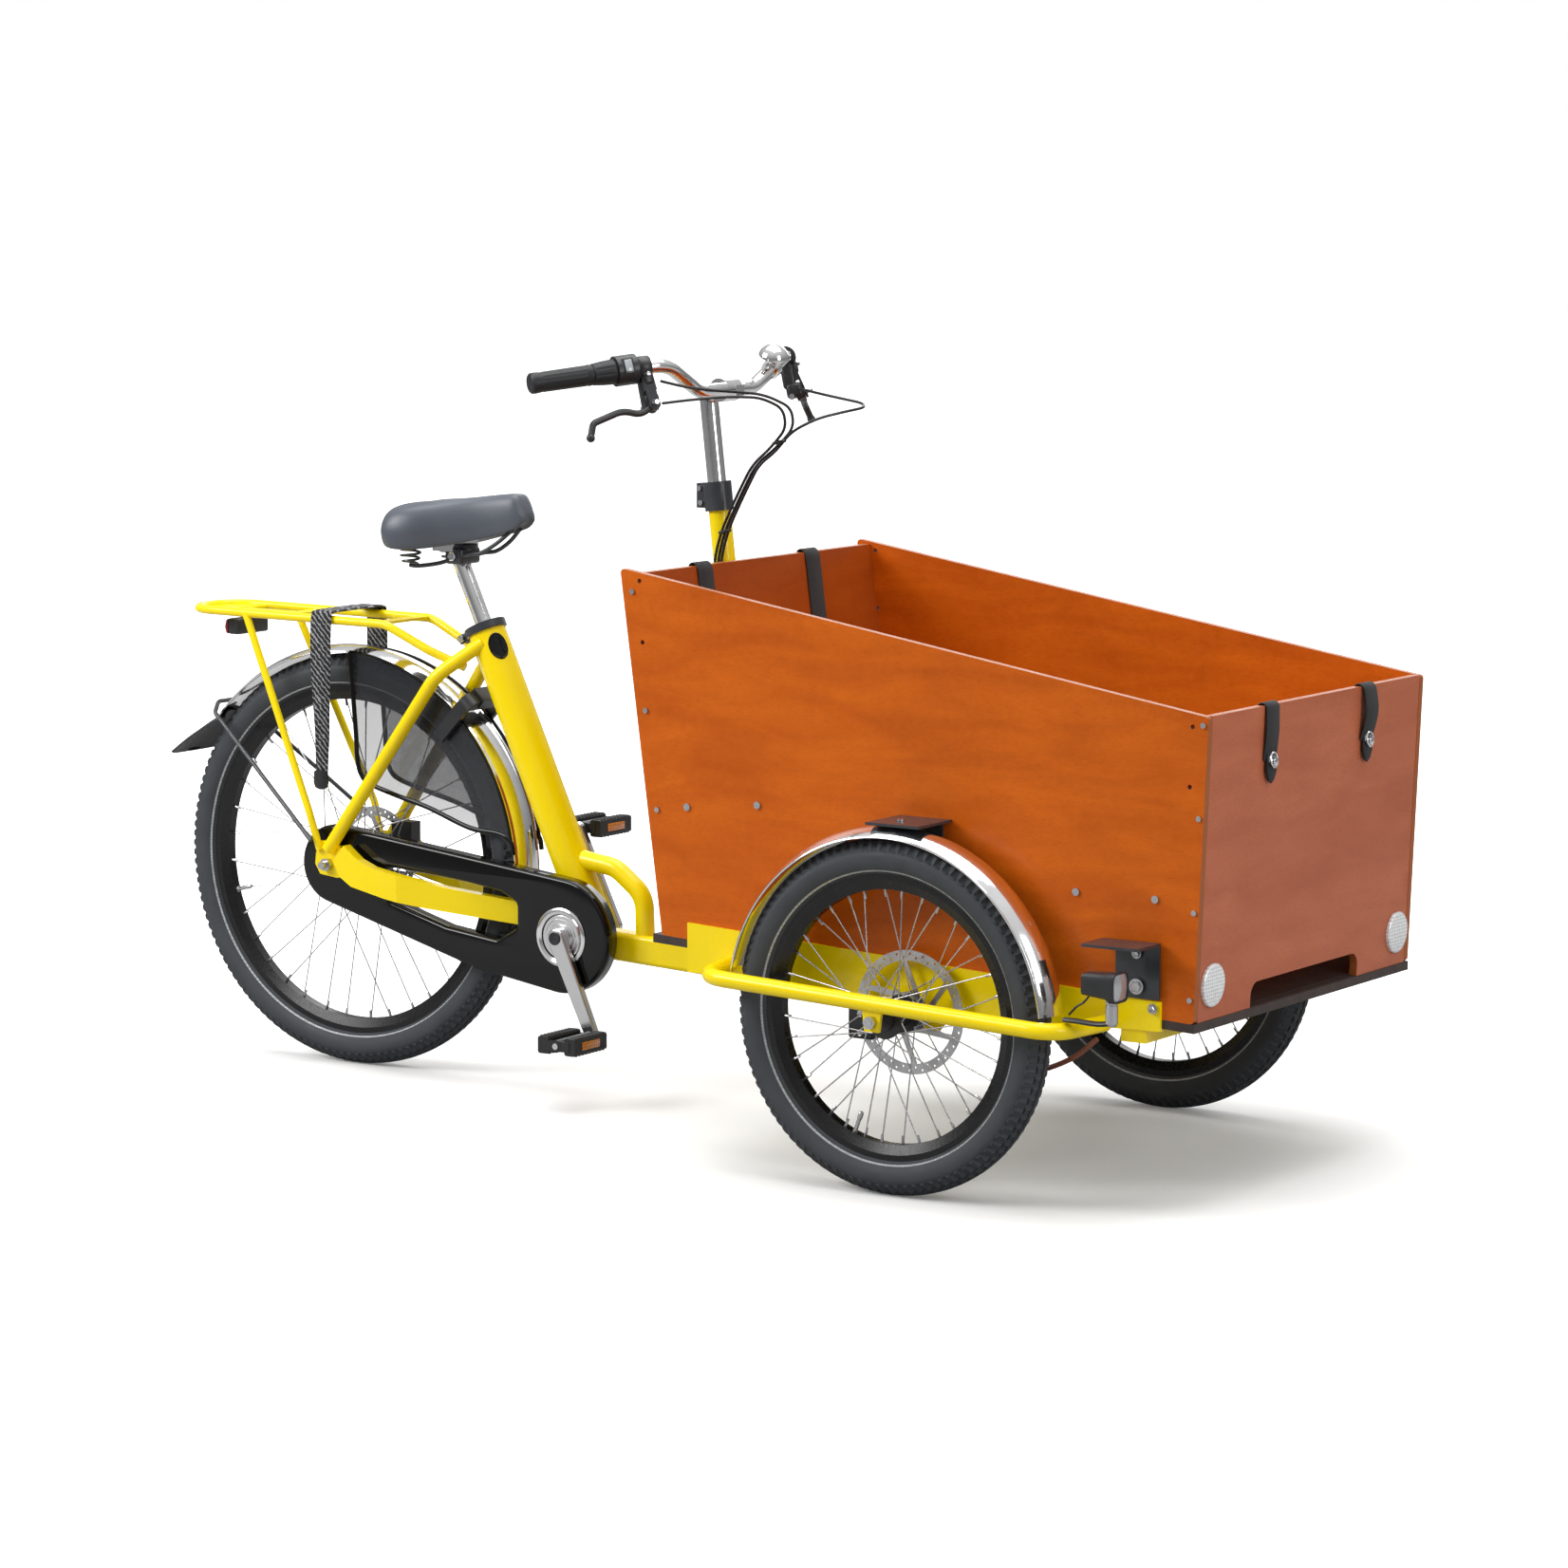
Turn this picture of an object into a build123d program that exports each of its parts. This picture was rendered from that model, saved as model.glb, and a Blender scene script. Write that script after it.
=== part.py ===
from build123d import *
from math import atan2, cos, degrees, hypot, pi, radians, sin, tan
import os

# Cargo tricycle: a plywood box on a two-wheeled front module that steers under a single-wheel rear frame.
#
# Millimetres, +X forward, +Y to the rider's left, +Z up, ground at z = 0.  The geometry is laid out from
# the rear axle (x = 0) and moved at export, so that the origin is under the middle of the whole length.

os.makedirs("parts", exist_ok=True)

# ---------------------------------------------------------------- driving dimensions
REAR_END = -355.0            # tip of the mud flap
FRONT_END = 1744.78          # front face of the strap buckles
MID_X = (REAR_END + FRONT_END) / 2

FRONT_AXLE_X = 1273.7        # wheelbase, rear axle to front axles
HALF_TRACK = 396.9           # centre of the trike to the centre of a front wheel
REAR_R = 334.5               # 26 inch wheel, 55-559 tyre
FRONT_R = 258.0              # 20 inch wheels, 55-406 tyres
TYRE_W = 55.0
REAR_BEAD_R = 279.5
FRONT_BEAD_R = 203.0

# box: outline of a side panel, and plate thicknesses
BOX_HALF_W = 331.0
PLY = 12.0
FLOOR_T = 13.0
FIELD_T = 1.2                # raised field of the floor, between the panels
SIDE_TOP_REAR = (753.3, 868.7)
SIDE_TOP_FRONT = (1742.0, 711.5)
SIDE_BOTTOM_FRONT = (1724.0, 281.0)
SIDE_BOTTOM_REAR = (828.2, 327.3)
BENCH_REAR = (874.0, 998.0, 526.0)     # first bolt x, last bolt x, height
BENCH_FRONT = (1535.0, 1662.0, 456.0)

TENT_HOLES = [(788.0, 851.0), (793.5, 760.5), (1717.0, 697.0), (1713.5, 613.0)]   # x and z, for tent poles
TENT_HOLE_R = 3.5

# front chassis
RAIL_T = 5.0
RAIL_REAR_X = 877.0
RAIL_FRONT_X = 1674.0
GUARD_Y = 452.0              # outer guard tube, centre to centre of the trike
GUARD_R = 12.0
GUARD_REAR_X = 985.0
GUARD_FRONT_X = 1572.0
DISC_Y = 352.0
DISC_R = 90.0
CABLE_R = 2.2

# steering pivot, on the line of the front axles
PIVOT_X = FRONT_AXLE_X
PIN_R = 15.0
RUN_GAP = 0.05               # radial clearance of a shaft in its hole
FREE_GAP = 0.3               # face clearance between moving pieces

# steering post and handlebar
POST_LEAN = 6.7              # degrees from vertical, top to the rear
POST_REF = (711.0, 900.0)    # a point on the axis, x and z
POST_R = 17.0
POST_TOP_Z = 945.0
POST_FOOT_Z = 322.0
RISER_R = 14.3
RISER_TOP_Z = 1112.0
BAR_R = 11.1
BAR_MID = (719.0, 1116.0)    # x and z of the bar where it is clamped
BAR_BEND = (720.0, 161.0, 1161.0)
BAR_END = (602.0, 343.0, 1136.0)

# rear frame
SEAT_LEAN = 24.8             # degrees from vertical, top to the rear
BB = (453.0, 255.0)          # bottom bracket, x and z
SEAT_FOOT = (478.0, 254.0)   # where the axis of the main tube passes in front of it
MAIN_R = 30.0
MAIN_TOP_Z = 722.0
STAY_R = 11.0
DROP_Y = 74.0                # middle of a rear dropout plate
BEAM_TOP = 258.0
BEAM_H = 46.0
CRANK_L = 165.0
CRANK_ANGLE = 24.5           # degrees forward of straight down, right crank
CHAIN_Y = 53.0
RING_R = 76.0                # chain ring, 38 teeth
SPROCKET_R = 40.0            # rear sprocket, 20 teeth
CASE_IN_Y = 40.0
CASE_OUT_Y = 66.0
CARRIER_Z = 727.0
CARRIER_HALF_W = 62.0
CARRIER_R = 7.0
FENDER_GAP = 14.0            # tyre to fender
FENDER_BRACKET = (1285.7, 534.4)  # middle of the plate over a front mudguard, x and underside
STAY_Y = 82.0                # stays stand outside the dropouts and the chaincase
POST_BORE = 13.65            # bore of the main tube for the seat post
CRANK_Y = 70.0               # inner face of a crank arm
CASE_CIRCLES = [(2.0, 333.0, 64.0), (300.0, 276.0, 88.0), (451.0, 256.0, 91.0)]
LEVER_OUT = 62.0             # bar centre to the pin of a brake lever
LEVER_DROOP = 65.0           # degrees that the levers point below level
LEVER_AT = 179.0             # bar end to the middle of a lever clamp
HOUSING_END = 166.0          # bar end to the inner face of the shifter housing
SPOKES = 36
SPOKE_R = 1.0


# ---------------------------------------------------------------- helpers
def save(name, *shapes):
    """Write one node: its solids, moved so that the origin is under the middle of the trike."""
    solids = [s for shape in shapes for s in shape.solids()]
    moved = [Pos(-MID_X, 0, 0) * s for s in solids]
    node = moved[0] if len(moved) == 1 else Compound(children=moved)
    export_step(node, f"parts/{name}.step")


def vec(p):
    return Vector(*p)


def rod(p, q, r):
    """A solid round bar between two points."""
    run = vec(q) - vec(p)
    return Plane(origin=p, z_dir=run) * Cylinder(r, run.length, align=(Align.CENTER, Align.CENTER, Align.MIN))


def ring(p, q, r_out, r_in):
    return rod(p, q, r_out) - rod(p, q, r_in)


def bent(points, radii, r):
    """A solid round bar along straight runs joined by tangent arcs."""
    path = FilletPolyline(*points, radius=radii)
    section = Plane(origin=path @ 0, z_dir=path % 0) * Circle(r)
    return sweep(section, path=path)


def corner_radii(points, share=0.45):
    """The arc at each corner: as large as its shorter run allows."""
    out = []
    for a, b, c in zip(points, points[1:], points[2:]):
        run_in, run_out = vec(b) - vec(a), vec(c) - vec(b)
        turn = radians(run_in.get_angle(run_out))
        out.append(share * min(run_in.length, run_out.length) / tan(turn / 2))
    return out


def cable(points, r):
    return bent(points, corner_radii(points), r)


def plate_xz(points, y0, y1):
    """A plate with an outline in X and Z, from y0 to y1."""
    low, high = min(y0, y1), max(y0, y1)
    face = Plane.XZ.offset(-low) * make_face(Polyline(*points, close=True))
    return extrude(face, amount=high - low, dir=(0, 1, 0))


def box_at(x0, x1, y0, y1, z0, z1):
    """A block between two corners."""
    size = (abs(x1 - x0), abs(y1 - y0), abs(z1 - z0))
    return Pos((x0 + x1) / 2, (y0 + y1) / 2, (z0 + z1) / 2) * Box(*size)


def lerp(p, q, t):
    return tuple(a + (b - a) * t for a, b in zip(p, q))


def side_line(x, p, q):
    """Height at x on the line from p to q, both (x, z)."""
    return p[1] + (q[1] - p[1]) * (x - p[0]) / (q[0] - p[0])


def floor_z(x):
    """Top of the floor plate: the bottom edge of the side panels."""
    return side_line(x, SIDE_BOTTOM_REAR, SIDE_BOTTOM_FRONT)


def rear_x(z, inset=0.0):
    return SIDE_BOTTOM_REAR[0] + inset + (SIDE_TOP_REAR[0] - SIDE_BOTTOM_REAR[0]) * (
        (z - SIDE_BOTTOM_REAR[1]) / (SIDE_TOP_REAR[1] - SIDE_BOTTOM_REAR[1]))


def front_x(z, inset=0.0):
    return SIDE_BOTTOM_FRONT[0] - inset + (SIDE_TOP_FRONT[0] - SIDE_BOTTOM_FRONT[0]) * (
        (z - SIDE_BOTTOM_FRONT[1]) / (SIDE_TOP_FRONT[1] - SIDE_BOTTOM_FRONT[1]))


def post_x(z):
    return POST_REF[0] - (z - POST_REF[1]) * tan(radians(POST_LEAN))


def seat_x(z):
    """Axis of the main tube and the seat post."""
    return SEAT_FOOT[0] - (z - SEAT_FOOT[1]) * tan(radians(SEAT_LEAN))


def both(shape):
    """A piece on the right and its mirror image on the left."""
    return [shape, mirror(shape, about=Plane.XZ)]


# ---------------------------------------------------------------- wheels
def tyre(x, y, r, bead):
    """A tyre: a round section, open towards the rim, turned about the axle."""
    mid = r - TYRE_W / 2
    outer = Pos(mid, 0) * Circle(TYRE_W / 2)
    inner = Pos(mid - 2, 0) * Circle(TYRE_W / 2 - 5)
    mouth = Pos(bead - 12, 0) * Rectangle(24 + 2 * 4, 24)
    section = (outer - inner) - mouth
    return Pos(x, y, r) * revolve(section, axis=Axis.Y)


def rim(x, y, r, bead):
    """A box-section rim with a well for the tyre."""
    depth = 19.0
    outline = [(bead - depth, 8), (bead - 5, 14), (bead + 6, 14), (bead + 6, 12), (bead - 3, 12),
               (bead - 6, 5), (bead - 6, -5), (bead - 3, -12), (bead + 6, -12), (bead + 6, -14),
               (bead - 5, -14), (bead - depth, -8)]
    face = make_face(Polyline(*outline, close=True))
    return Pos(x, y, r) * revolve(face, axis=Axis.Y)


def spokes(x, y, r, bead, flange_r, flange_y):
    """Crossed spokes, from alternate flanges to the rim."""
    out = []
    rim_r = bead - 17.0
    for i in range(SPOKES):
        a = 2 * pi * (i + 0.5) / SPOKES
        side = 1 if i % 2 else -1
        lead = radians(62) * (1 if (i // 2) % 2 else -1)
        foot = (x + flange_r * cos(a + lead), y + side * flange_y, r + flange_r * sin(a + lead))
        head = (x + rim_r * cos(a), y + side * 3.0, r + rim_r * sin(a))
        out.append(rod(foot, head, SPOKE_R))
    return out


def front_hub(x, y, r):
    """Hub shell with two flanges and a carrier for the brake disc, bored for its axle."""
    inward = 1 if y < 0 else -1
    shell = rod((x, y - 30, r), (x, y + 30, r), 17)
    for side in (-1, 1):
        shell = shell + rod((x, y + side * 23 - 1.5, r), (x, y + side * 23 + 1.5, r), 29)
    shell = shell + rod((x, y + inward * 28, r), (x, y + inward * 43, r), 22)
    return shell - rod((x, y - 60, r), (x, y + 60, r), 6.0 + RUN_GAP)


def brake_disc(x, y, z, r_out, r_in):
    """A vented rotor: an outer band, a carrier and five curved arms."""
    band = ring((x, y - 0.9, z), (x, y + 0.9, z), r_out, r_out - 15)
    hub = ring((x, y - 0.9, z), (x, y + 0.9, z), r_in + 8, r_in)
    disc = band + hub
    for i in range(6):
        a = 2 * pi * i / 6
        b = a + radians(38)
        p = (x + (r_in + 5) * cos(a), z + (r_in + 5) * sin(a))
        q = (x + (r_out - 9) * cos(b), z + (r_out - 9) * sin(b))
        n = (-(q[1] - p[1]), q[0] - p[0])
        s = 4.0 / hypot(*n)
        arm = [(p[0] + n[0] * s, p[1] + n[1] * s), (q[0] + n[0] * s, q[1] + n[1] * s),
               (q[0] - n[0] * s, q[1] - n[1] * s), (p[0] - n[0] * s, p[1] - n[1] * s)]
        disc = disc + plate_xz(arm, y - 0.9, y + 0.9)
    for i in range(24):
        a = 2 * pi * i / 24
        for k, rr in enumerate((r_out - 5, r_out - 10)):
            b = a + radians(7.5) * k
            c = (x + rr * cos(b), y, z + rr * sin(b))
            disc = disc - rod((c[0], y - 2, c[2]), (c[0], y + 2, c[2]), 1.9)
    return disc


def front_wheel(side, name):
    y = side * HALF_TRACK
    x = FRONT_AXLE_X
    save(f"front_tyre_{name}", tyre(x, y, FRONT_R, FRONT_BEAD_R))
    save(f"front_rim_{name}", rim(x, y, FRONT_R, FRONT_BEAD_R))
    save(f"front_spokes_{name}", *spokes(x, y, FRONT_R, FRONT_BEAD_R, 25.0, 23.0))
    disc = brake_disc(x, side * DISC_Y, FRONT_R, DISC_R, 22.2)
    save(f"front_hub_{name}", front_hub(x, y, FRONT_R), disc)


def rear_hub():
    """Geared hub shell with two spoke flanges, bored for the axle."""
    shell = rod((0, -34, REAR_R), (0, 34, REAR_R), 30)
    for y in (-31, 31):
        shell = shell + rod((0, y - 1.75, REAR_R), (0, y + 1.75, REAR_R), 46)
    shell = shell + rod((0, 30, REAR_R), (0, 46, REAR_R), 22)
    return shell - rod((0, -60, REAR_R), (0, 60, REAR_R), 6.0 + RUN_GAP)


def rear_wheel():
    save("rear_tyre", tyre(0, 0, REAR_R, REAR_BEAD_R))
    save("rear_rim", rim(0, 0, REAR_R, REAR_BEAD_R))
    save("rear_spokes", *spokes(0, 0, REAR_R, REAR_BEAD_R, 42.0, 31.0))
    save("rear_hub", rear_hub(), brake_disc(0, 49, REAR_R, 80.0, 22.2))


# ---------------------------------------------------------------- cargo box
def box_sides():
    outline = [SIDE_TOP_REAR, SIDE_TOP_FRONT, SIDE_BOTTOM_FRONT, SIDE_BOTTOM_REAR]
    right = plate_xz(outline, -BOX_HALF_W, -BOX_HALF_W + PLY)
    edges = right.edges().filter_by(Axis.Y)
    right = fillet(edges, 6)
    for x, z in TENT_HOLES:
        right = right - rod((x, -BOX_HALF_W - 5, z), (x, -BOX_HALF_W + PLY + 5, z), TENT_HOLE_R)
    save("box_side_right", right)
    save("box_side_left", mirror(right, about=Plane.XZ))


def box_front():
    """Front panel between the sides, with a hand slot over the floor."""
    inset = 0.5
    half = BOX_HALF_W - PLY - 0.2
    top = SIDE_TOP_FRONT[1] + 1
    low = SIDE_BOTTOM_FRONT[1]
    foot_x = front_x(low, inset + PLY)
    outline = [(front_x(low, inset), low + 0.2), (front_x(top, inset), top), (front_x(top, inset + PLY), top),
               (foot_x, floor_z(foot_x) + 0.2)]
    panel = plate_xz(outline, -half, half)
    slot_half, slot_h = 165.0, 36.0
    slot = box_at(FRONT_END - 80, FRONT_END, -slot_half, slot_half, low - slot_h, low + slot_h)
    slot = fillet(slot.edges().filter_by(Axis.X), 20)
    save("box_front_panel", panel - slot)


def box_rear():
    """Rear panel, a little in from the ends of the sides."""
    inset = 12.0
    half = BOX_HALF_W - PLY - 0.2
    top, low = SIDE_TOP_REAR[1] - 8, floor_z(SIDE_BOTTOM_REAR[0]) - 0.5
    outline = [(rear_x(low, inset), low), (rear_x(top, inset), top), (rear_x(top, inset + PLY), top),
               (rear_x(low, inset + PLY), floor_z(rear_x(low, inset + PLY)))]
    save("box_rear_panel", plate_xz(outline, -half, half))


def box_floor():
    """Floor plate under the four panels, with a thin raised field between them where the load stands."""
    x0, x1 = SIDE_BOTTOM_REAR[0] - 16, SIDE_BOTTOM_FRONT[0] + 1
    outline = [(x0, floor_z(x0)), (x1, floor_z(x1)), (x1, floor_z(x1) - FLOOR_T), (x0, floor_z(x0) - FLOOR_T)]
    plate = plate_xz(outline, -BOX_HALF_W, BOX_HALF_W)
    a, b = SIDE_BOTTOM_REAR[0] + 12 + PLY + 2, SIDE_BOTTOM_FRONT[0] - 0.5 - PLY - 2
    field = [(a, floor_z(a) - 1), (b, floor_z(b) - 1), (b, floor_z(b) + FIELD_T), (a, floor_z(a) + FIELD_T)]
    half = BOX_HALF_W - PLY - 1
    save("box_floor", plate + plate_xz(field, -half, half))


def benches():
    """Two seat boards across the box, each with a cleat along both sides."""
    out = []
    half = BOX_HALF_W - PLY
    gap = 0.4
    rear0 = rear_x(BENCH_REAR[2] + PLY, 12 + PLY) + 1
    front1 = front_x(BENCH_FRONT[2], 0.5 + PLY) - 1
    for x0, x1, z in ((rear0, BENCH_REAR[1] + 50, BENCH_REAR[2]), (BENCH_FRONT[0] - 50, front1, BENCH_FRONT[2])):
        board = box_at(x0, x1, -half + gap, half - gap, z + 12, z + 12 + PLY)
        out.append(board)
    for x0, x1, z in (BENCH_REAR, BENCH_FRONT):
        for cleat in both(box_at(x0 - 20, x1 + 20, -half + gap, -half + 24, z - 12, z + 12)):
            out.append(cleat)
    save("box_benches", *out)


def dome(x, z, r=5.0, h=3.0):
    """A low dome bolt head on the outside of the right-hand panel."""
    y = -BOX_HALF_W - 0.1
    return rod((x, y, z), (x, y - h, z), r)


def box_bolts():
    """Bolt heads through the side panels and round the corners."""
    spots = []
    for z in (835.0, 660.0, 513.9):
        spots.append((rear_x(z, 18), z, 4.0))
    for x, _, z in (BENCH_REAR, BENCH_FRONT):
        spots.append((x, z - 4, 5.5))
    spots.append((BENCH_REAR[1], BENCH_REAR[2] + 8, 5.5))
    spots.append((BENCH_FRONT[1], BENCH_FRONT[2] - 4, 5.5))
    for z in (700.0, 570.0, 438.0, 315.0):
        spots.append((front_x(z, 7), z, 4.0))
    out = []
    for x, z, r in spots:
        out += both(dome(x, z, r))
    return out


def bracket_bolts():
    """Heads of the bolts that hold the side brackets and the front end of each rail."""
    rail_y = -BOX_HALF_W - 0.2 - RAIL_T
    out = []
    for x, y, z, r in ((1640, rail_y - 4.1, 376, 5), (1640, rail_y - 4.1, 329, 7.5), (1664, rail_y - 0.1, 299, 5)):
        out += both(rod((x, y, z), (x, y - 4, z), r))
    x, top = FENDER_BRACKET[0] - 8, FENDER_BRACKET[1] + 4.1
    out += both(rod((x, -386, top), (x, -386, top + 3), 5.5))
    return out


def reflectors():
    """Round reflectors low on the front panel."""
    out = []
    z = 331.0
    for y in (-284.0, 284.0):
        x = front_x(z) + 0.3
        lean = degrees(atan2(SIDE_TOP_FRONT[0] - SIDE_BOTTOM_FRONT[0], SIDE_TOP_FRONT[1] - SIDE_BOTTOM_FRONT[1]))
        disc = Cylinder(31, 5, align=(Align.CENTER, Align.CENTER, Align.MIN))
        disc = chamfer(disc.faces().sort_by(Axis.Z)[-1].edges(), 1.5)
        out.append(Pos(x, y, z) * Rot(0, 90 + lean, 0) * disc)
    save("front_reflectors", *out)


def strap(y, width, over_x, over_z, lean, reach_out, reach_in):
    """A webbing strap folded over the top edge of a panel."""
    t = 1.6
    g = 0.9
    half = PLY / 2 + g
    low_out, low_in = -reach_out, -reach_in
    outer = [(-half - t, low_out), (-half - t, t + g), (half + t, t + g), (half + t, low_in),
             (half, low_in), (half, g), (-half, g), (-half, low_out)]
    face = make_face(Polyline(*outer, close=True))
    body = extrude(Plane.XZ * face, amount=width / 2, both=True)
    return Pos(over_x, y, over_z) * Rot(0, lean, 0) * body


def straps():
    lean_f = degrees(atan2(SIDE_TOP_FRONT[0] - SIDE_BOTTOM_FRONT[0], SIDE_TOP_FRONT[1] - SIDE_BOTTOM_FRONT[1]))
    lean_r = degrees(atan2(SIDE_TOP_REAR[0] - SIDE_BOTTOM_REAR[0], SIDE_TOP_REAR[1] - SIDE_BOTTOM_REAR[1]))
    top_f, top_r = SIDE_TOP_FRONT[1] + 1, SIDE_TOP_REAR[1] - 8
    out = []
    for y in (-148.0, 148.0):
        out.append(strap(y, 40, front_x(top_f, 0.5 + PLY / 2), top_f, lean_f, 60, 100))
        out.append(strap(y, 40, rear_x(top_r, 12 + PLY / 2), top_r, lean_r, 45, 110))
    save("box_straps", *out)
    buckles = []
    for y in (-148.0, 148.0):
        z = top_f - 82
        x = front_x(z) + 2.6
        plate = Box(3, 20, 20) - Box(6, 12, 7)
        buckles.append(Pos(x + 1.5, y, z) * Rot(0, lean_f, 0) * plate)
    return buckles


# ---------------------------------------------------------------- front chassis
def guard_z(x):
    """Height of the outer guard tube, which falls gently to the front."""
    return 294.0 - (x - 1054.0) * 0.0447


def rail_z(x):
    return side_line(x, (RAIL_REAR_X, 350.6), (RAIL_FRONT_X, 308.7))


def rail():
    """Right-hand side rail: a folded plate along the foot of the box, with the axle plate hanging from it."""
    y0 = -BOX_HALF_W - 0.2
    y1 = y0 - RAIL_T
    xs = (RAIL_REAR_X, RAIL_FRONT_X)
    outline = [(xs[0], rail_z(xs[0])), (xs[1], rail_z(xs[1])), (xs[1], 267.0), (FRONT_AXLE_X + 62, 258.0),
               (FRONT_AXLE_X + 34, 226.0), (FRONT_AXLE_X - 34, 226.0), (FRONT_AXLE_X - 62, 262.0),
               (xs[0] + 50, 277.0), (xs[0], 277.0)]
    web = plate_xz(outline, y0, y1)
    flange_z = 14.0
    under = []
    for x0, x1 in ((xs[0], FRONT_AXLE_X - 62), (FRONT_AXLE_X + 62, xs[1])):
        z0, z1 = floor_z(x0) - FLOOR_T - 0.2, floor_z(x1) - FLOOR_T - 0.2
        under.append(plate_xz([(x0, z0), (x1, z1), (x1, z1 - 4), (x0, z0 - 4)], y0 + 0.2, y0 + 42))
    return web + under[0] + under[1] - rod((FRONT_AXLE_X, y0 + 5, FRONT_R), (FRONT_AXLE_X, y1 - 5, FRONT_R), 6.0)


def chassis_frame():
    """Two rails joined by cross tubes, a centre plate and the steering pin, all welded."""
    right = rail()
    body = right + mirror(right, about=Plane.XZ)
    half = BOX_HALF_W + 2
    for x in (905.0, PIVOT_X, 1630.0):
        top = floor_z(x) - FLOOR_T - 1.5
        low = top - 24.0
        bar = box_at(x - 20, x + 20, -half, half, low, top)
        core = box_at(x - 18, x + 18, -half + 5, half - 5, low + 2, top - 2)
        body = body + (bar - core)
    pin_top = floor_z(PIVOT_X) - FLOOR_T - 10
    body = body + rod((PIVOT_X, 0, 196), (PIVOT_X, 0, pin_top), PIN_R)
    foot = [(post_x(330) - 10, 318), (905, floor_z(905) - FLOOR_T - 4), (905, floor_z(905) - FLOOR_T - 12),
            (post_x(330) - 10, 306)]
    body = body + plate_xz(foot, -24, 24)
    save("chassis_frame", body)


def steering_post():
    """Post that leans with the rear panel and carries the handlebar, with two struts to the panel."""
    low, high = (post_x(POST_FOOT_Z), 0, POST_FOOT_Z), (post_x(POST_TOP_Z), 0, POST_TOP_Z)
    body = rod(low, high, POST_R) - rod(low, high, RISER_R + RUN_GAP)
    for z in (420.0, 780.0):
        x0, x1 = post_x(z) + POST_R - 1.5, rear_x(z + 12, 12) - 0.3
        body = body + box_at(x0, x1, -14, 14, z - 12, z + 12)
    save("steering_post", body)


def post_clamp():
    """Split collar with a rear flange and two bolts, at the top of the post."""
    z0, z1 = 931.0, 975.0
    low, high = (post_x(z0), 0, z0), (post_x(z1), 0, z1)
    collar = rod(low, high, 22)
    ears = box_at(post_x(953) - 34, post_x(953) - 12, -9, 9, z0 + 3, z1 - 3)
    body = collar + ears
    body = body - rod(low, (post_x(POST_TOP_Z + 0.5), 0, POST_TOP_Z + 0.5), POST_R + 0.02)
    body = body - rod(low, (post_x(z1 + 5), 0, z1 + 5), RISER_R + RUN_GAP)
    slit = box_at(post_x(953) - 40, post_x(953) - 14, -1, 1, z0 - 5, z1 + 5)
    body = body - slit
    save("post_clamp", body)
    bolts = []
    for z in (942.0, 964.0):
        x = post_x(z) - 27
        bolts.append(rod((x, -12.2, z), (x, -9.1, z), 4))
        bolts.append(rod((x, 9.1, z), (x, 12.2, z), 4))
    return bolts


def guard():
    """Right-hand guard tube round the outside of the wheel, with its axle plate."""
    y_in, y_out = -BOX_HALF_W - 0.2 - RAIL_T, -GUARD_Y
    a, b = GUARD_REAR_X, GUARD_FRONT_X
    pts = [(a - 32, y_in, guard_z(a)), (a, y_out, guard_z(a)), (b, y_out, guard_z(b)), (b + 14, y_in, guard_z(b))]
    radii = [48, 44]
    tube = bent(pts, radii, GUARD_R) - bent(pts, radii, GUARD_R - 2)
    x, z = FRONT_AXLE_X, FRONT_R
    top = guard_z(x) - 8
    tab = plate_xz([(x - 16, top), (x + 16, top), (x + 12, z - 14), (x - 12, z - 14)], y_out - 3, y_out + 3)
    return tube + tab - rod((x, y_out - 9, z), (x, y_out + 9, z), 6.0)


def front_axle():
    """Fixed stub axle from the rail's axle plate to the guard, with its two nuts."""
    x, z = FRONT_AXLE_X, FRONT_R
    inner, outer = -BOX_HALF_W + 10, -GUARD_Y - 12
    bar = rod((x, inner, z), (x, outer, z), 6.0 - 0.02)
    nut_y = -GUARD_Y - 3.2
    nut = Pos(x, nut_y, z) * Rot(90, 0, 0) * extrude(RegularPolygon(10, 6), 8)
    return [bar, nut - rod((x, nut_y + 2, z), (x, nut_y - 12, z), 6.0)]


def arc_shell(cx, cy, cz, r, half_w, crown, t, a0, a1):
    """A mudguard: a shallow curved section turned about the axle from angle a0 to a1, from +X towards +Z."""
    edge_r = r - crown
    outer = ThreePointArc((edge_r, -half_w), (r, 0), (edge_r, half_w))
    inner = ThreePointArc((edge_r - t, half_w), (r - t, 0), (edge_r - t, -half_w))
    face = make_face([outer, Line(outer @ 1, inner @ 0), inner, Line(inner @ 1, outer @ 0)])
    body = revolve(face, axis=Axis.Y, revolution_arc=a1 - a0)
    return Pos(cx, cy, cz) * Rot(0, -a0, 0) * (Rot(0, -(a1 - a0), 0) * body)


def front_fender():
    """Right-hand front mudguard."""
    return arc_shell(FRONT_AXLE_X, -HALF_TRACK, FRONT_R, FRONT_R + 17, 32, 14, 1.4, 6, 170)


def fender_bracket():
    """Plate from the box side over the top of the front mudguard."""
    x, z = FENDER_BRACKET
    y = -BOX_HALF_W - 0.2
    top = box_at(x - 44, x + 44, y - 92, y, z, z + 4)
    ear = box_at(x - 30, x + 30, y - 4, y, z - 34, z + 1)
    return top + ear


def corner_bracket():
    """Angle bracket near the front corner of the box, for an accessory."""
    y = -BOX_HALF_W - 0.2 - RAIL_T
    x0, x1 = 1604.0, 1674.0
    wall = box_at(x0, x1, y - 4, y - 0.2, 312, 392)
    shelf = box_at(x0 - 22, x1, y - 66, y - 0.2, 388, 392)
    shelf = fillet(shelf.edges().filter_by(Axis.Z), 5)
    return wall + shelf


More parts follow.
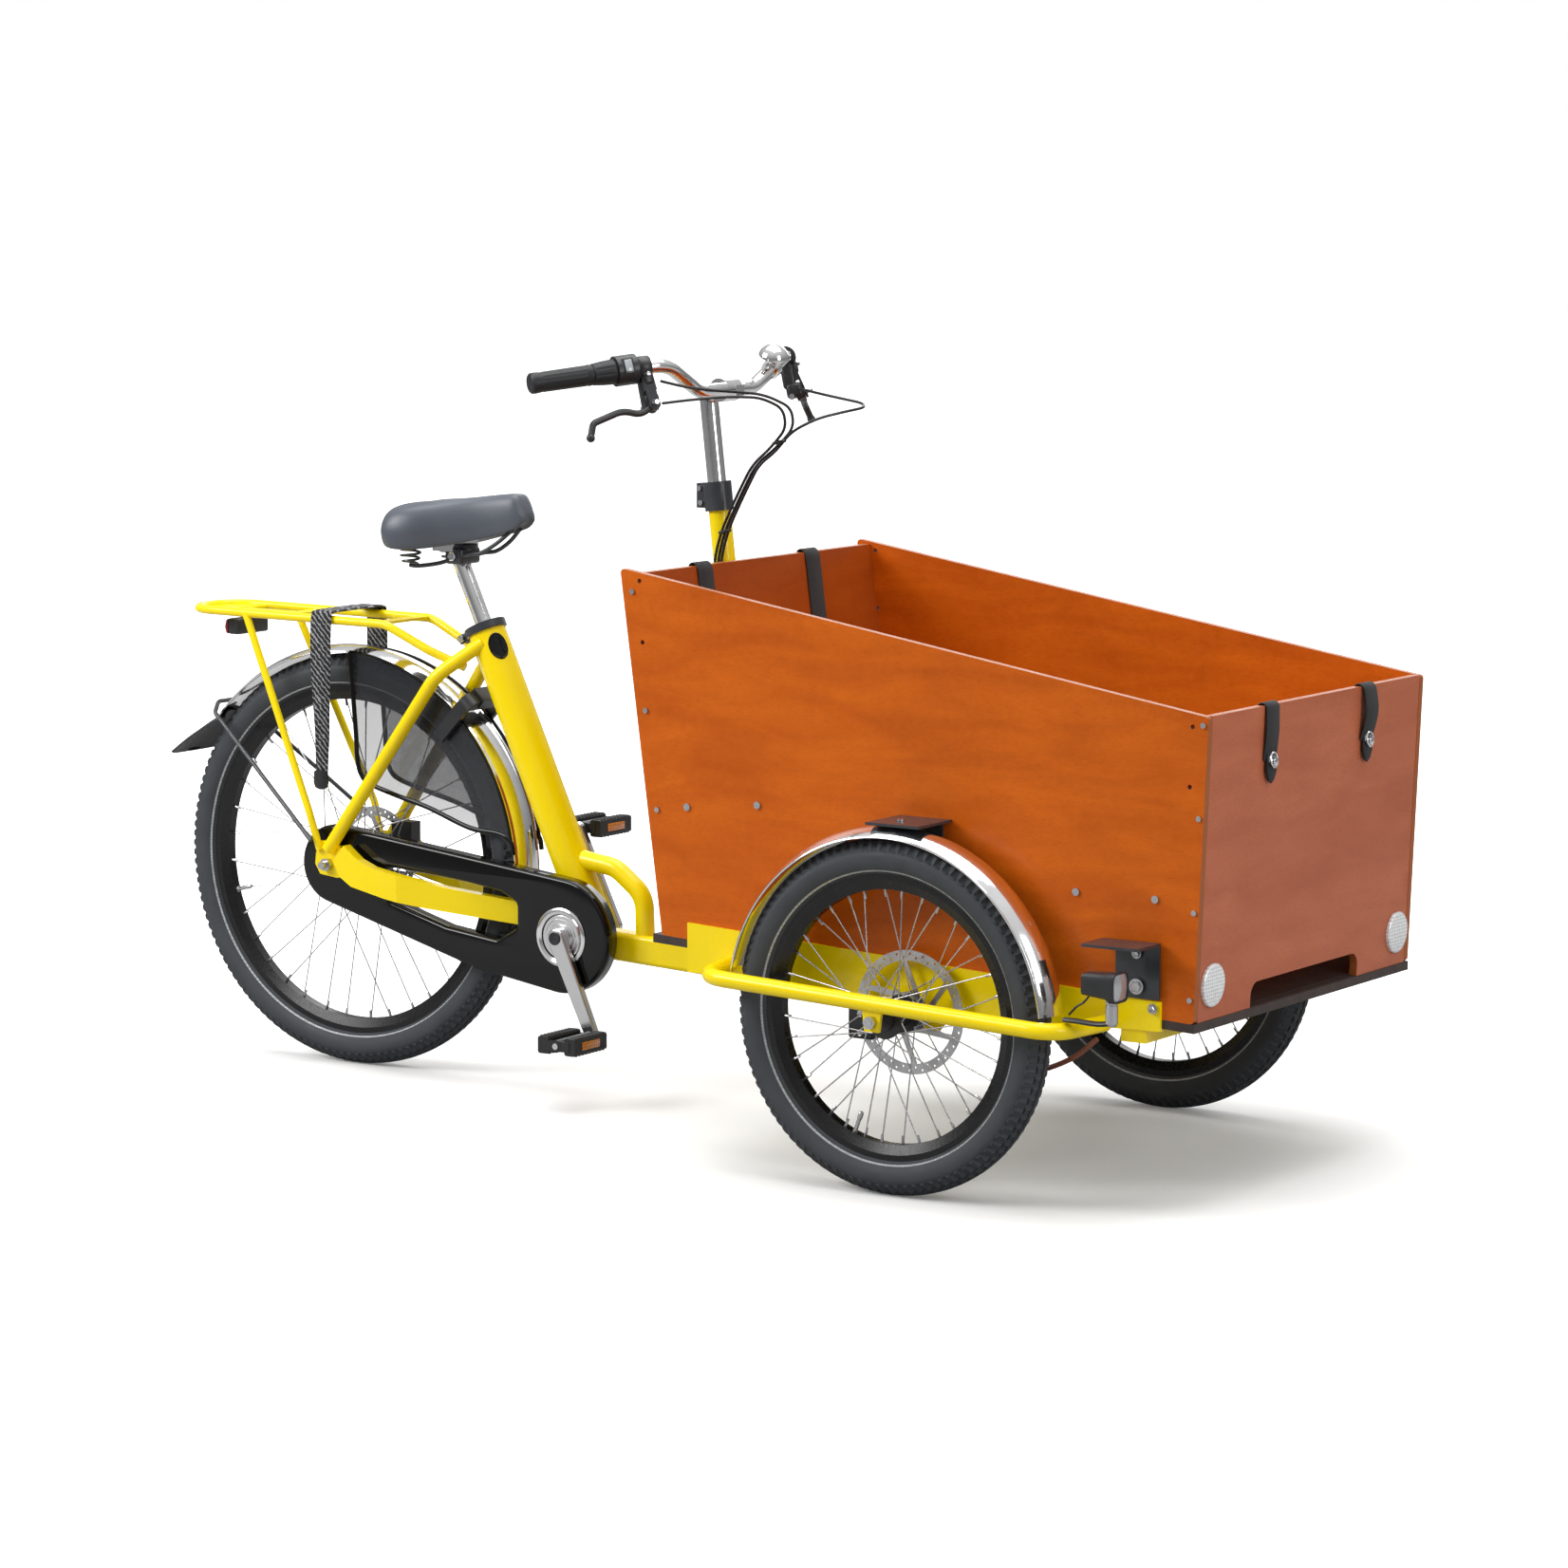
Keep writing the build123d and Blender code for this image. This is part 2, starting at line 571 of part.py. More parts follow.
def lamp():
    """Right-hand headlamp: housing with a bezel, a post and an arm to the guard, and a lens."""
    x, y, z = 1640.0, -430.0, 342.0
    body = box_at(x - 32, x + 12, y - 19, y + 19, z - 16, z + 18)
    body = fillet(body.edges().filter_by(Axis.X), 6)
    bezel = box_at(x + 10, x + 24, y - 22, y + 22, z - 22, z + 21)
    bezel = fillet(bezel.edges().filter_by(Axis.X), 7)
    post = rod((x + 10, y, z - 56), (x + 10, y, z - 20), 9)
    arm = box_at(x - 68, x + 10, y - 6, y + 6, z - 60, z - 48)
    lens = box_at(x + 24.2, x + 30, y - 19, y + 19, z - 19, z + 18)
    lens = fillet(lens.edges().filter_by(Axis.X), 6)
    return body + bezel + post + arm, lens


def front_caliper():
    """Right-hand brake caliper over the rear of its disc, on a foot from the axle plate."""
    x, z = FRONT_AXLE_X - 72, FRONT_R - 22
    body = box_at(x - 26, x + 18, -DISC_Y - 15, -DISC_Y + 11.5, z - 24, z + 24)
    body = fillet(body.edges().filter_by(Axis.Y), 6)
    hub = (FRONT_AXLE_X, FRONT_R)
    gap = rod((hub[0], -DISC_Y - 1.6, hub[1]), (hub[0], -DISC_Y + 1.6, hub[1]), DISC_R + 2)
    return body - gap


def brake_hose():
    """Brown hose from the lamp's foot down and back along the inside of the wheel to the caliper."""
    pts = [(1583, -352, 250), (1545, -352, 220), (1490, -351, 196), (1432, -350, 186)]
    return cable(pts, 4)


def chassis():
    box_sides()
    box_front()
    box_rear()
    box_floor()
    benches()
    reflectors()
    chassis_frame()
    steering_post()
    save("wheel_guards", *both(guard()))
    save("front_fenders", *both(front_fender()))
    save("side_brackets", *(both(fender_bracket()) + both(corner_bracket())))
    body, lens = lamp()
    save("headlamps", *(both(body) + both(lens)))
    save("front_brakes", *(both(front_caliper()) + both(brake_hose())))
    fasteners = box_bolts() + bracket_bolts() + straps() + post_clamp()
    for piece in front_axle():
        fasteners += both(piece)
    save("chassis_fasteners", *fasteners)


# ---------------------------------------------------------------- handlebar
def grip_dir():
    run = vec(BAR_END) - vec(BAR_BEND)
    return run.normalized()


def on_bar(side, dist):
    """A point on the straight of the bar, measured back from its end, on side -1 right or +1 left."""
    p = vec(BAR_END) - grip_dir() * dist
    return (p.X, side * p.Y, p.Z)


def handlebar():
    """Riser and stem, the bent bar, its grips and the clamps of the levers."""
    foot, top = (post_x(820), 0, 820), (post_x(RISER_TOP_Z), 0, RISER_TOP_Z)
    riser = rod(foot, top, RISER_R) - rod(foot, (post_x(1090), 0, 1090), RISER_R - 2.5)
    stem = rod((post_x(1104), 0, 1104), (BAR_MID[0], 0, BAR_MID[1]), 13)
    clamp = rod((BAR_MID[0], -20, BAR_MID[1]), (BAR_MID[0], 20, BAR_MID[1]), 18)
    clamp = clamp + box_at(BAR_MID[0] + 8, BAR_MID[0] + 26, -11, 11, BAR_MID[1] - 8, BAR_MID[1] + 8)
    quill = riser + stem + clamp
    quill = quill - rod((BAR_MID[0], -30, BAR_MID[1]), (BAR_MID[0], 30, BAR_MID[1]), BAR_R + 0.02)
    save("handlebar_riser", quill)

    mid_x, mid_z = BAR_MID
    bx, by, bz = BAR_BEND
    ex, ey, ez = BAR_END
    pts = [(ex, -ey, ez), (bx, -by, bz), (mid_x, -72, mid_z), (mid_x, 72, mid_z), (bx, by, bz), (ex, ey, ez)]
    bar = bent(pts, [55, 60, 60, 55], BAR_R)
    save("handlebar", bar)


def grips():
    out = []
    for side in (-1, 1):
        grip = rod(on_bar(side, -3), on_bar(side, 96), 16)
        out.append(grip - rod(on_bar(side, 0), on_bar(side, 100), BAR_R + 0.02))
    save("grips", *out)


def twist_shifter():
    """Twist grip: a ribbed sleeve beside the right-hand grip."""
    sleeve = rod(on_bar(-1, 97), on_bar(-1, 133), 19)
    save("twist_shifter", sleeve - rod(on_bar(-1, 90), on_bar(-1, 140), BAR_R + RUN_GAP))


def lever_frame(side):
    """Frame of a brake lever: along the bar to its end, away from the bar (forward and down), and its hinge."""
    along = vec(on_bar(side, 0)) - vec(on_bar(side, 100))
    along = along.normalized()
    level = Vector(0, 0, 1).cross(along).normalized() * (1 if side < 0 else -1)
    droop = radians(LEVER_DROOP)
    down = along.cross(level).normalized()
    if down.Z > 0:
        down = down * -1
    away = (level * cos(droop) + down * sin(droop)).normalized()
    return along, away, along.cross(away).normalized()


def lever_origin(side):
    along, away, _ = lever_frame(side)
    return vec(on_bar(side, LEVER_AT)) + away * LEVER_OUT


def brake_lever(side):
    """A two-finger lever with a curled end, swinging on a pin at its root."""
    along, away, axis = lever_frame(side)
    o = lever_origin(side)
    spots = [(0, 0), (24, 11), (50, 1), (101, 14), (111, 36)]
    pts = [tuple(o + along * a + away * b) for a, b in spots]
    blade = bent(pts, [25, 40, 12], 5.2)
    blade = blade + Pos(*pts[-1]) * Sphere(6.5)
    eye = rod(tuple(o - axis * 5), tuple(o + axis * 5), 8.0)
    return (blade + eye) - rod(tuple(o - axis * 9), tuple(o + axis * 9), 3.0 + RUN_GAP)


def lever_clamps():
    """Twist shifter housing, and each brake lever's bar clamp with its fork and pivot pin."""
    out = []
    body = rod(on_bar(-1, 133.4), on_bar(-1, HOUSING_END), 23)
    out.append(body - rod(on_bar(-1, 120), on_bar(-1, HOUSING_END + 9), BAR_R + 0.02))
    for side in (-1, 1):
        along, away, axis = lever_frame(side)
        o = lever_origin(side)
        d = LEVER_AT
        clamp = rod(on_bar(side, d - 8), on_bar(side, d + 8), 16)
        for k in (-1, 1):
            cheek = rod(tuple(o + axis * k * 5.4), tuple(o + axis * k * 9), 9)
            link = Plane(origin=tuple(vec(on_bar(side, d)) + axis * k * 7.2), x_dir=away, z_dir=axis)
            arm = link * (Pos(LEVER_OUT / 2, 0, 0) * Box(LEVER_OUT, 16, 3.6))
            clamp = clamp + cheek + arm
        neck = Plane(origin=tuple(vec(on_bar(side, d))), x_dir=away, z_dir=axis)
        clamp = clamp + neck * (Pos(LEVER_OUT * 0.32, 0, 0) * Box(LEVER_OUT * 0.64, 19, 18))
        clamp = clamp - rod(on_bar(side, d - 15), on_bar(side, d + 15), BAR_R + 0.02)
        clamp = clamp + rod(tuple(o - axis * 9), tuple(o + axis * 9), 3.0)
        out.append(clamp)
    save("lever_clamps", *out)


def bell_frame():
    """Foot of the bell on the left of the bar, and the direction that its dome points."""
    foot = vec(lerp((BAR_MID[0], 72, BAR_MID[1]), BAR_BEND, 0.6))
    return foot, Vector(0.35, -0.25, 0.9).normalized()


def bell():
    foot, up = bell_frame()
    base = rod(tuple(foot + up * 8), tuple(foot + up * 22), 9)
    dome_plane = Plane(origin=tuple(foot + up * 22), z_dir=up)
    dome_solid = Pos(0, 0, -6) * Sphere(24.7) & Pos(0, 0, 15) * Box(60, 60, 30)
    along = (vec(BAR_BEND) - Vector(BAR_MID[0], 72, BAR_MID[1])).normalized()
    band = rod(tuple(foot - along * 6), tuple(foot + along * 6), 15)
    band = band - rod(tuple(foot - along * 9), tuple(foot + along * 9), BAR_R + 0.4)
    save("bell", (base - rod(tuple(foot - along * 20), tuple(foot + along * 20), 13)) + dome_plane * dome_solid,
         band)


def bell_lever():
    """Thumb lever under the rim of the bell."""
    foot, up = bell_frame()
    side = up.cross(Vector(0, 1, 0)).normalized() * -1
    out = Vector(0, 1, 0) - up * up.dot(Vector(0, 1, 0))
    out = out.normalized()
    hub = ring(tuple(foot + up * 15.5), tuple(foot + up * 19.5), 12.5, 9 + RUN_GAP)
    frame = Plane(origin=tuple(foot + up * 17.5), x_dir=out, z_dir=up)
    tab = frame * (Pos(24, 0, 0) * Box(26, 9, 4))
    save("bell_lever", hub + tab)


def control_cables():
    """Brake and shift cables: from the levers and the shifter, forward past the bar, and down beside the post."""
    tail = [(787, 1005), (758, 955), (730, 901), (716, 850), (770, 430)]
    right = [(732, -190, 1104), (754, -150, 1108), (790, -100, 1112), (816, -50, 1109), (836, -20, 1092),
             (838, -14, 1062), (812, -16, 1032)]
    shift = [(716, -172, 1136), (742, -146, 1127), (764, -110, 1121), (784, -64, 1117), (806, -24, 1112),
             (834, 6, 1092), (840, 4, 1062), (816, -6, 1032)]
    left = [(732, 189, 1109), (800, 163, 1102), (880, 138, 1094), (906, 98, 1090), (896, 68, 1086),
            (868, 26, 1076), (840, -4, 1056), (818, -12, 1026)]
    out = []
    for pts, dx, y in ((right, -4, -24), (shift, 2, -23.4), (left, 8, -24)):
        route = pts + [(x + dx, y, z) for x, z in tail]
        out.append(cable(route, CABLE_R))
    save("control_cables", *out)


def steering_controls():
    handlebar()
    grips()
    twist_shifter()
    lever_clamps()
    save("brake_lever_right", brake_lever(-1))
    save("brake_lever_left", brake_lever(1))
    bell()
    bell_lever()
    control_cables()


# ---------------------------------------------------------------- rear frame
def beam_z(x):
    """Top of the beam that runs forward under the box to the steering pivot."""
    return 262.0 - (x - 555.0) * 0.047


def main_frame():
    """Main tube, arch, beam, pivot housing, stays and dropouts, welded into one frame."""
    foot, top = (seat_x(238), 0, 238), (seat_x(MAIN_TOP_Z), 0, MAIN_TOP_Z)
    bore_low = (seat_x(440), 0, 440)
    main = rod(foot, top, MAIN_R)
    shell = rod((BB[0], -34, BB[1]), (BB[0], 34, BB[1]), 22)
    arch_pts = [(430, 0, 372), (512, 0, 362), (566, 0, 322), (569, 0, 236)]
    arch = bent(arch_pts, [52, 46], 15.0)
    x0, x1 = SEAT_FOOT[0] + 6, PIVOT_X
    beam = plate_xz([(x0, beam_z(x0)), (x1, beam_z(x1)), (x1, beam_z(x1) - BEAM_H), (x0, beam_z(x0) - BEAM_H)],
                    -20, 20)
    beam = fillet(beam.edges().filter_by(lambda e: abs((e % 0.5).X) > 0.9), 8)
    core = plate_xz([(x0 + 40, beam_z(x0 + 40) - 3), (x1 - 34, beam_z(x1 - 34) - 3),
                     (x1 - 34, beam_z(x1 - 34) - BEAM_H + 3), (x0 + 40, beam_z(x0 + 40) - BEAM_H + 3)], -17, 17)
    head_top = floor_z(PIVOT_X) - FLOOR_T - 1.5 - 24 - FREE_GAP
    head = rod((PIVOT_X, 0, 178), (PIVOT_X, 0, head_top), 27)
    body = main + shell + arch + (beam - core) + head
    for side in (-1, 1):
        body = body + stays(side)
    body = body - rod((PIVOT_X, 0, 170), (PIVOT_X, 0, head_top + 10), PIN_R + RUN_GAP)
    body = body - rod((seat_x(296), 0, 296), bore_low, MAIN_R - 3)
    body = body - rod(bore_low, (seat_x(MAIN_TOP_Z + 9), 0, MAIN_TOP_Z + 9), POST_BORE)
    body = body - rod((BB[0], -40, BB[1]), (BB[0], 40, BB[1]), 17)
    save("main_frame", body)


def stays(side):
    """Seat stay, deep flat-sided chain stay and dropout on one side."""
    y = side
    top = [(272, y * 22, 704), (208, y * 62, 650), (5, y * STAY_Y, 359)]
    seat = bent(top, [80], STAY_R)
    profile = [(22, 344), (36, 319), (58, 305), (125, 291), (198, 280), (362, 261), (452, 244), (452, 281),
               (362, 297), (228, 315), (149, 330), (100, 338), (72, 349), (44, 370)]
    plan = [(10, 93), (150, 93), (352, 38), (460, 26), (460, 8), (352, 20), (150, 75), (10, 75)]
    band = extrude(make_face(Polyline(*[(x, y * w) for x, w in plan], close=True)), 500)
    chain = plate_xz(profile, y * 5, y * 98) & band
    plate = [(-24, 352), (-14, 372), (14, 372), (52, 346), (52, 318), (16, 314), (-16, 318), (-26, 334)]
    drop = plate_xz(plate, y * (DROP_Y - 3), y * (DROP_Y + 3))
    drop = drop - rod((0, y * (DROP_Y - 6), REAR_R), (0, y * (DROP_Y + 6), REAR_R), 6.0)
    return seat + chain + drop


def rear_fasteners():
    """Rear axle with its nuts, and the cups that carry the crank spindle."""
    out = [rod((0, -96, REAR_R), (0, 96, REAR_R), 6.0 - 0.02)]
    for side in (-1, 1):
        y = side * (DROP_Y + 3.2)
        nut = Pos(0, y, REAR_R) * Rot(90 if side < 0 else -90, 0, 0) * extrude(RegularPolygon(11, 6), 9)
        out.append(nut - rod((0, y - 20, REAR_R), (0, y + 20, REAR_R), 6.0))
        out.append(ring((BB[0], side * 22, BB[1]), (BB[0], side * 36, BB[1]), 16.98, 8.5 + RUN_GAP))
    save("rear_fasteners", *out)


def seat_clamp():
    """Clamp ring round the top of the main tube, with its bolt lugs behind."""
    z0, z1 = MAIN_TOP_Z - 6, MAIN_TOP_Z + 12
    low, high = (seat_x(z0), 0, z0), (seat_x(z1), 0, z1)
    collar = rod(low, high, 34)
    lug = box_at(seat_x(z0 + 9) - 50, seat_x(z0 + 9) - 24, -9, 9, z0 + 2, z1 - 6)
    body = collar + lug
    body = body - rod((seat_x(z0 - 30), 0, z0 - 30), (seat_x(MAIN_TOP_Z + 0.3), 0, MAIN_TOP_Z + 0.3), MAIN_R + 0.03)
    body = body - rod(low, (seat_x(z1 + 9), 0, z1 + 9), POST_BORE)
    bolt = rod((seat_x(z0 + 9) - 42, -13, z0 + 8), (seat_x(z0 + 9) - 42, 13, z0 + 8), 4)
    save("seat_clamp", body + bolt)


def carrier():
    """Tube carrier with a rounded rear loop, cross bars, and stays down to the dropouts."""
    w, z = CARRIER_HALF_W, CARRIER_Z
    half = [(246, -34, 664), (188, -55, 690), (108, -w, z), (-302, -w, z + 4)]
    pts = half + [(x, -y, zz) for x, y, zz in reversed(half)]
    loop = bent(pts, [40, 60, 55, 55, 60, 40], CARRIER_R)
    body = loop
    for x in (-240, -113, 93):
        body = body + box_at(x - 13, x + 13, -w, w, z - 1, z + 3)
    body = body + box_at(-240, -100, -9, 9, z - 1, z + 3)
    body = body + box_at(-298, -236, 30 - w, w - 30, z + 1, z + 4) + box_at(-282, -236, -w, w, z + 1, z + 4)
    for side in (-1, 1):
        pts = [(-174, side * (w + 2), z + 1), (-30, side * (STAY_Y + 3), 416), (-14, side * (STAY_Y - 2), 358)]
        body = body + bent(pts, [60], 6)
    save("carrier", body)


def rear_light():
    body = box_at(-246, -208, -40, 40, 689, 716)
    save("rear_light", fillet(body.edges().filter_by(Axis.Y), 8))


def rear_fender():
    save("rear_fender", arc_shell(0, 0, REAR_R, REAR_R + FENDER_GAP + 1, 32, 10, 1.4, 1, 141))


def mud_flap():
    """Flared rubber flap at the tail of the rear mudguard."""
    a = radians(141)
    r = REAR_R + FENDER_GAP - 4
    x0, z0 = r * cos(a), REAR_R + r * sin(a)
    run = Vector(REAR_END + 1 - x0, 0, 485 - z0)
    frame = Plane(origin=(x0, 0, z0), x_dir=run, z_dir=Vector(0, 1, 0).cross(run) * -1)
    long = run.length
    outline = Polyline((-4, -27), (long, -62), (long, 62), (-4, 27), close=True)
    flap = extrude(frame * make_face(outline), 1.6, both=True)
    save("mud_flap", flap)


def fender_stays():
    """One black wire: from a dropout up to the tail of the mudguard, over it, and down to the other dropout."""
    half = [(-20, -95, 374), (-258, -44, 560), (-262, -30, 577)]
    pts = half + [(x, -y, z) for x, y, z in reversed(half)]
    save("fender_stays", bent(pts, [12, 12, 12, 12], 3.6))


def dress_guards():
    """A flat sheet on each side that fills the front upper quarter of the wheel."""
    r = REAR_R + 8
    out = []
    a0, a1 = radians(7), radians(87)
    p0 = (r * cos(a0), REAR_R + r * sin(a0))
    p1 = (r * cos(a1), REAR_R + r * sin(a1))
    mid = (r * cos((a0 + a1) / 2), REAR_R + r * sin((a0 + a1) / 2))
    rim_arc = ThreePointArc(p0, mid, p1)
    low = Polyline(p1, (24, 600), (29, 540), (31, 492), (52, 466), (174, 435), (255, 409), (312, 404), p0)
    face = make_face([rim_arc] + list(low.edges()))
    sheet = extrude(Plane.XZ.offset(37.2) * face, amount=1.6, dir=(0, -1, 0))
    save("dress_guards", *both(sheet))


def circle_hull(circles):
    """Outline round a set of circles, each (x, z, r)."""
    edges = [e for x, z, r in circles for e in (Pos(x, z) * Circle(r)).edges()]
    return make_hull(edges)


def chaincase():
    """Full chain cover with a slot for the chain stay, a hole for the crank boss, and room for the chain."""
    outline = circle_hull(CASE_CIRCLES)
    inside = circle_hull([(x, z, r - 2.5) for x, z, r in CASE_CIRCLES])
    slot = make_face(Polyline((100, 338), (185, 333), (265, 326), (334, 317), (366, 301), (366, 262), (328, 240),
                              (228, 252), (116, 283), close=True))
    slot = fillet(slot.vertices(), 10)
    rim_band = offset(slot, 2.5)
    solid = extrude(Plane.XZ.offset(CASE_IN_Y) * outline, amount=CASE_OUT_Y - CASE_IN_Y)
    room = extrude(Plane.XZ.offset(CASE_IN_Y - 1) * inside, amount=CASE_OUT_Y - CASE_IN_Y - 1.5)
    keep = extrude(Plane.XZ.offset(CASE_IN_Y) * rim_band, amount=CASE_OUT_Y - CASE_IN_Y)
    cut = extrude(Plane.XZ.offset(CASE_IN_Y - 1) * slot, amount=CASE_OUT_Y - CASE_IN_Y + 2)
    body = (solid - room) + keep - cut
    body = body - rod((BB[0], -20, BB[1]), (BB[0], -90, BB[1]), 36)
    body = body - rod((0, -20, REAR_R), (0, -90, REAR_R), 14)
    save("chaincase", body)


def chain():
    """Chain as one closed belt round the chain ring and the sprocket."""
    loop_out = circle_hull([(BB[0], BB[1], RING_R + 5.2), (0, REAR_R, SPROCKET_R + 5.2)])
    loop_in = circle_hull([(BB[0], BB[1], RING_R + 0.8), (0, REAR_R, SPROCKET_R + 0.8)])
    belt = extrude(Plane.XZ.offset(CHAIN_Y - 3) * (loop_out - loop_in), amount=6)
    save("chain", belt)


def ring_lock():
    """Horseshoe lock over the mudguard, fixed between the seat stays."""
    a = radians(47)
    out_dir = Vector(cos(a), 0, sin(a))
    frame = Plane(origin=(0, 0, REAR_R), x_dir=out_dir, z_dir=Vector(-sin(a), 0, cos(a)))
    shape = Rectangle(92, 103) - Pos(-20, 0) * Rectangle(92, 85)
    shape = fillet(shape.vertices().sort_by(Axis.X)[-2:], 20)
    body = extrude(frame * (Pos(342, 0) * shape), 11, both=True)
    body = body + extrude(frame * (Pos(384, 0) * Rectangle(16, 54)), 14, both=True)
    save("ring_lock", body)


def rear_caliper():
    x, z = 62.0, 380.0
    body = box_at(x - 20, x + 20, 49 - 12.5, 49 + 12, z - 20, z + 16)
    return body - rod((0, 49 - 1.6, REAR_R), (0, 49 + 1.6, REAR_R), 82)


def carrier_strap():
    """Elastic binder strap across the carrier, hanging on the right with a hook at its end."""
    x, t = -13.0, 3.0
    w = CARRIER_HALF_W + CARRIER_R
    y_out = w + 1
    top = CARRIER_Z + CARRIER_R + 4.5
    over = box_at(x - 22, x + 22, -y_out - t, y_out + t, top, top + t)
    near = Plane.XZ.offset(y_out) * make_face(Polyline((x - 22, top + t), (x + 22, top + t), (x + 20, 640),
                                                       (x + 9, 478), (x - 9, 478), (x - 20, 640), close=True))
    drop = extrude(near, amount=t)
    far = box_at(x - 22, x + 22, y_out, y_out + t, 650, top + t)
    hook = rod((x, -y_out + 2, 468), (x, -y_out - t - 4, 468), 13)
    save("carrier_strap", over + drop + far + hook)


def rear_frame():
    main_frame()
    rear_fasteners()
    seat_clamp()
    carrier()
    rear_light()
    rear_fender()
    mud_flap()
    fender_stays()
    dress_guards()
    chaincase()
    chain()
    ring_lock()
    save("rear_caliper", rear_caliper())
    carrier_strap()


# ---------------------------------------------------------------- drive and seat
def crank_tip(side):
    """Centre of the pedal end, on the right (-1) or the left (+1)."""
    a = radians(CRANK_ANGLE)
    k = -side
    return (BB[0] + k * CRANK_L * sin(a), BB[1] - k * CRANK_L * cos(a))


def crank_arm(side):
    x, z = crank_tip(side)
    arm = circle_hull([(BB[0], BB[1], 15), (x, z, 11)])
    y0 = CRANK_Y if side > 0 else -CRANK_Y - 13
    body = extrude(Plane.XZ.offset(-y0) * arm, amount=-13)
    body = fillet(body.edges().filter_by(GeomType.LINE).filter_by(lambda e: abs((e % 0.5).Y) < 0.1), 3)
    axle = rod((x, side * (CRANK_Y + 2), z), (x, side * (CRANK_Y + 108), z), 5)
    return body + axle


def cranks():
    """Spindle, both arms with their pedal axles, and the chain ring on its spider."""
    spindle = rod((BB[0], -CRANK_Y - 10, BB[1]), (BB[0], CRANK_Y + 10, BB[1]), 8.5)
    body = spindle + crank_arm(-1) + crank_arm(1)
    y0, y1 = -CHAIN_Y - 2, -CHAIN_Y + 2
    wheel = ring((BB[0], y0, BB[1]), (BB[0], y1, BB[1]), RING_R, RING_R - 16)
    boss = rod((BB[0], -CRANK_Y - 3, BB[1]), (BB[0], -CHAIN_Y + 4, BB[1]), 20)
    body = body + wheel + boss
    for i in range(5):
        a = 2 * pi * i / 5
        c = (BB[0] + 40 * cos(a), -CHAIN_Y, BB[1] + 40 * sin(a))
        body = body + Pos(*c) * Rot(0, -degrees(a), 0) * Box(56, 4, 12)
    save("cranks", body)


def pedal(side, name):
    """Block pedal that turns freely on its axle."""
    x, z = crank_tip(side)
    y0, y1 = side * (CRANK_Y + 17), side * (CRANK_Y + 106)
    mid = (y0 + y1) / 2
    body = rod((x, y0, z), (x, y1, z), 10)
    for k in (-1, 1):
        block = Pos(x + k * 25, mid, z) * Box(20, 86, 27)
        body = body + fillet(block.edges().filter_by(Axis.Y), 4)
    for y in (y0 + side * 4, y1 - side * 4):
        body = body + Pos(x, y, z) * Box(50, 7, 16)
    save(f"pedal_{name}", body - rod((x, y0 - side * 4, z), (x, y1 + side * 9, z), 5 + RUN_GAP))


def rear_sprocket():
    body = rod((0, -CHAIN_Y - 2, REAR_R), (0, -CHAIN_Y + 2, REAR_R), SPROCKET_R)
    body = body + rod((0, -CHAIN_Y - 3, REAR_R), (0, -36, REAR_R), 18)
    save("rear_sprocket", body - rod((0, -90, REAR_R), (0, -20, REAR_R), 6 + RUN_GAP))


def seat_post():
    """Straight post with the clamp head that holds the saddle rails."""
    body = rod((seat_x(540), 0, 540), (seat_x(846), 0, 846), POST_BORE - RUN_GAP)
    body = body + rod((seat_x(832), 0, 832), (seat_x(852), 0, 852), 17)
    body = body + box_at(seat_x(852) - 20, seat_x(852) + 20, -34, 34, 846, 862)
    save("seat_post", body)


def saddle():
    """Wide city saddle: the plan outline cut with the side profile."""
    plan = [(92, -60), (100, -98), (135, -108), (180, -95), (235, -50), (290, -26), (340, -21), (352, 0)]
    plan = plan + [(x, -y) for x, y in reversed(plan[:-1])]
    top = [(90, 880), (96, 912), (120, 925), (200, 922), (270, 926), (320, 938), (345, 934), (354, 915),
           (340, 900), (270, 886), (215, 868), (120, 858), (96, 864)]
    body = extrude(Pos(0, 0, 840) * make_face(Polyline(*plan, close=True)), 120)
    save("saddle", body & plate_xz(top, -130, 130))


def saddle_rails():
    """Two rails and two coil springs under the rear of the saddle."""
    out = []
    for side in (-1, 1):
        pts = [(118, side * 46, 850), (150, side * 24, 852.5), (245, side * 22, 852.5), (318, side * 9, 896)]
        out.append(bent(pts, [30, 40], 3.5))
        for k in range(5):
            z = 822 + 6.5 * k
            out.append(Pos(112, side * 62, z) * Torus(13, 2.6))
    save("saddle_rails", *out)


chassis()
front_wheel(-1, "right")
front_wheel(1, "left")
steering_controls()
rear_frame()
rear_wheel()
cranks()
pedal(-1, "right")
pedal(1, "left")
rear_sprocket()
seat_post()
saddle()
saddle_rails()
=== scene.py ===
"""Looks of the cargo tricycle: materials, detailed meshes, soft goods, camera and studio light.

Metres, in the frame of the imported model: +X forward, +Y to the rider's left, +Z up, ground at z = 0.
"""
import math

import bmesh
import bpy
from mathutils import Matrix, Vector


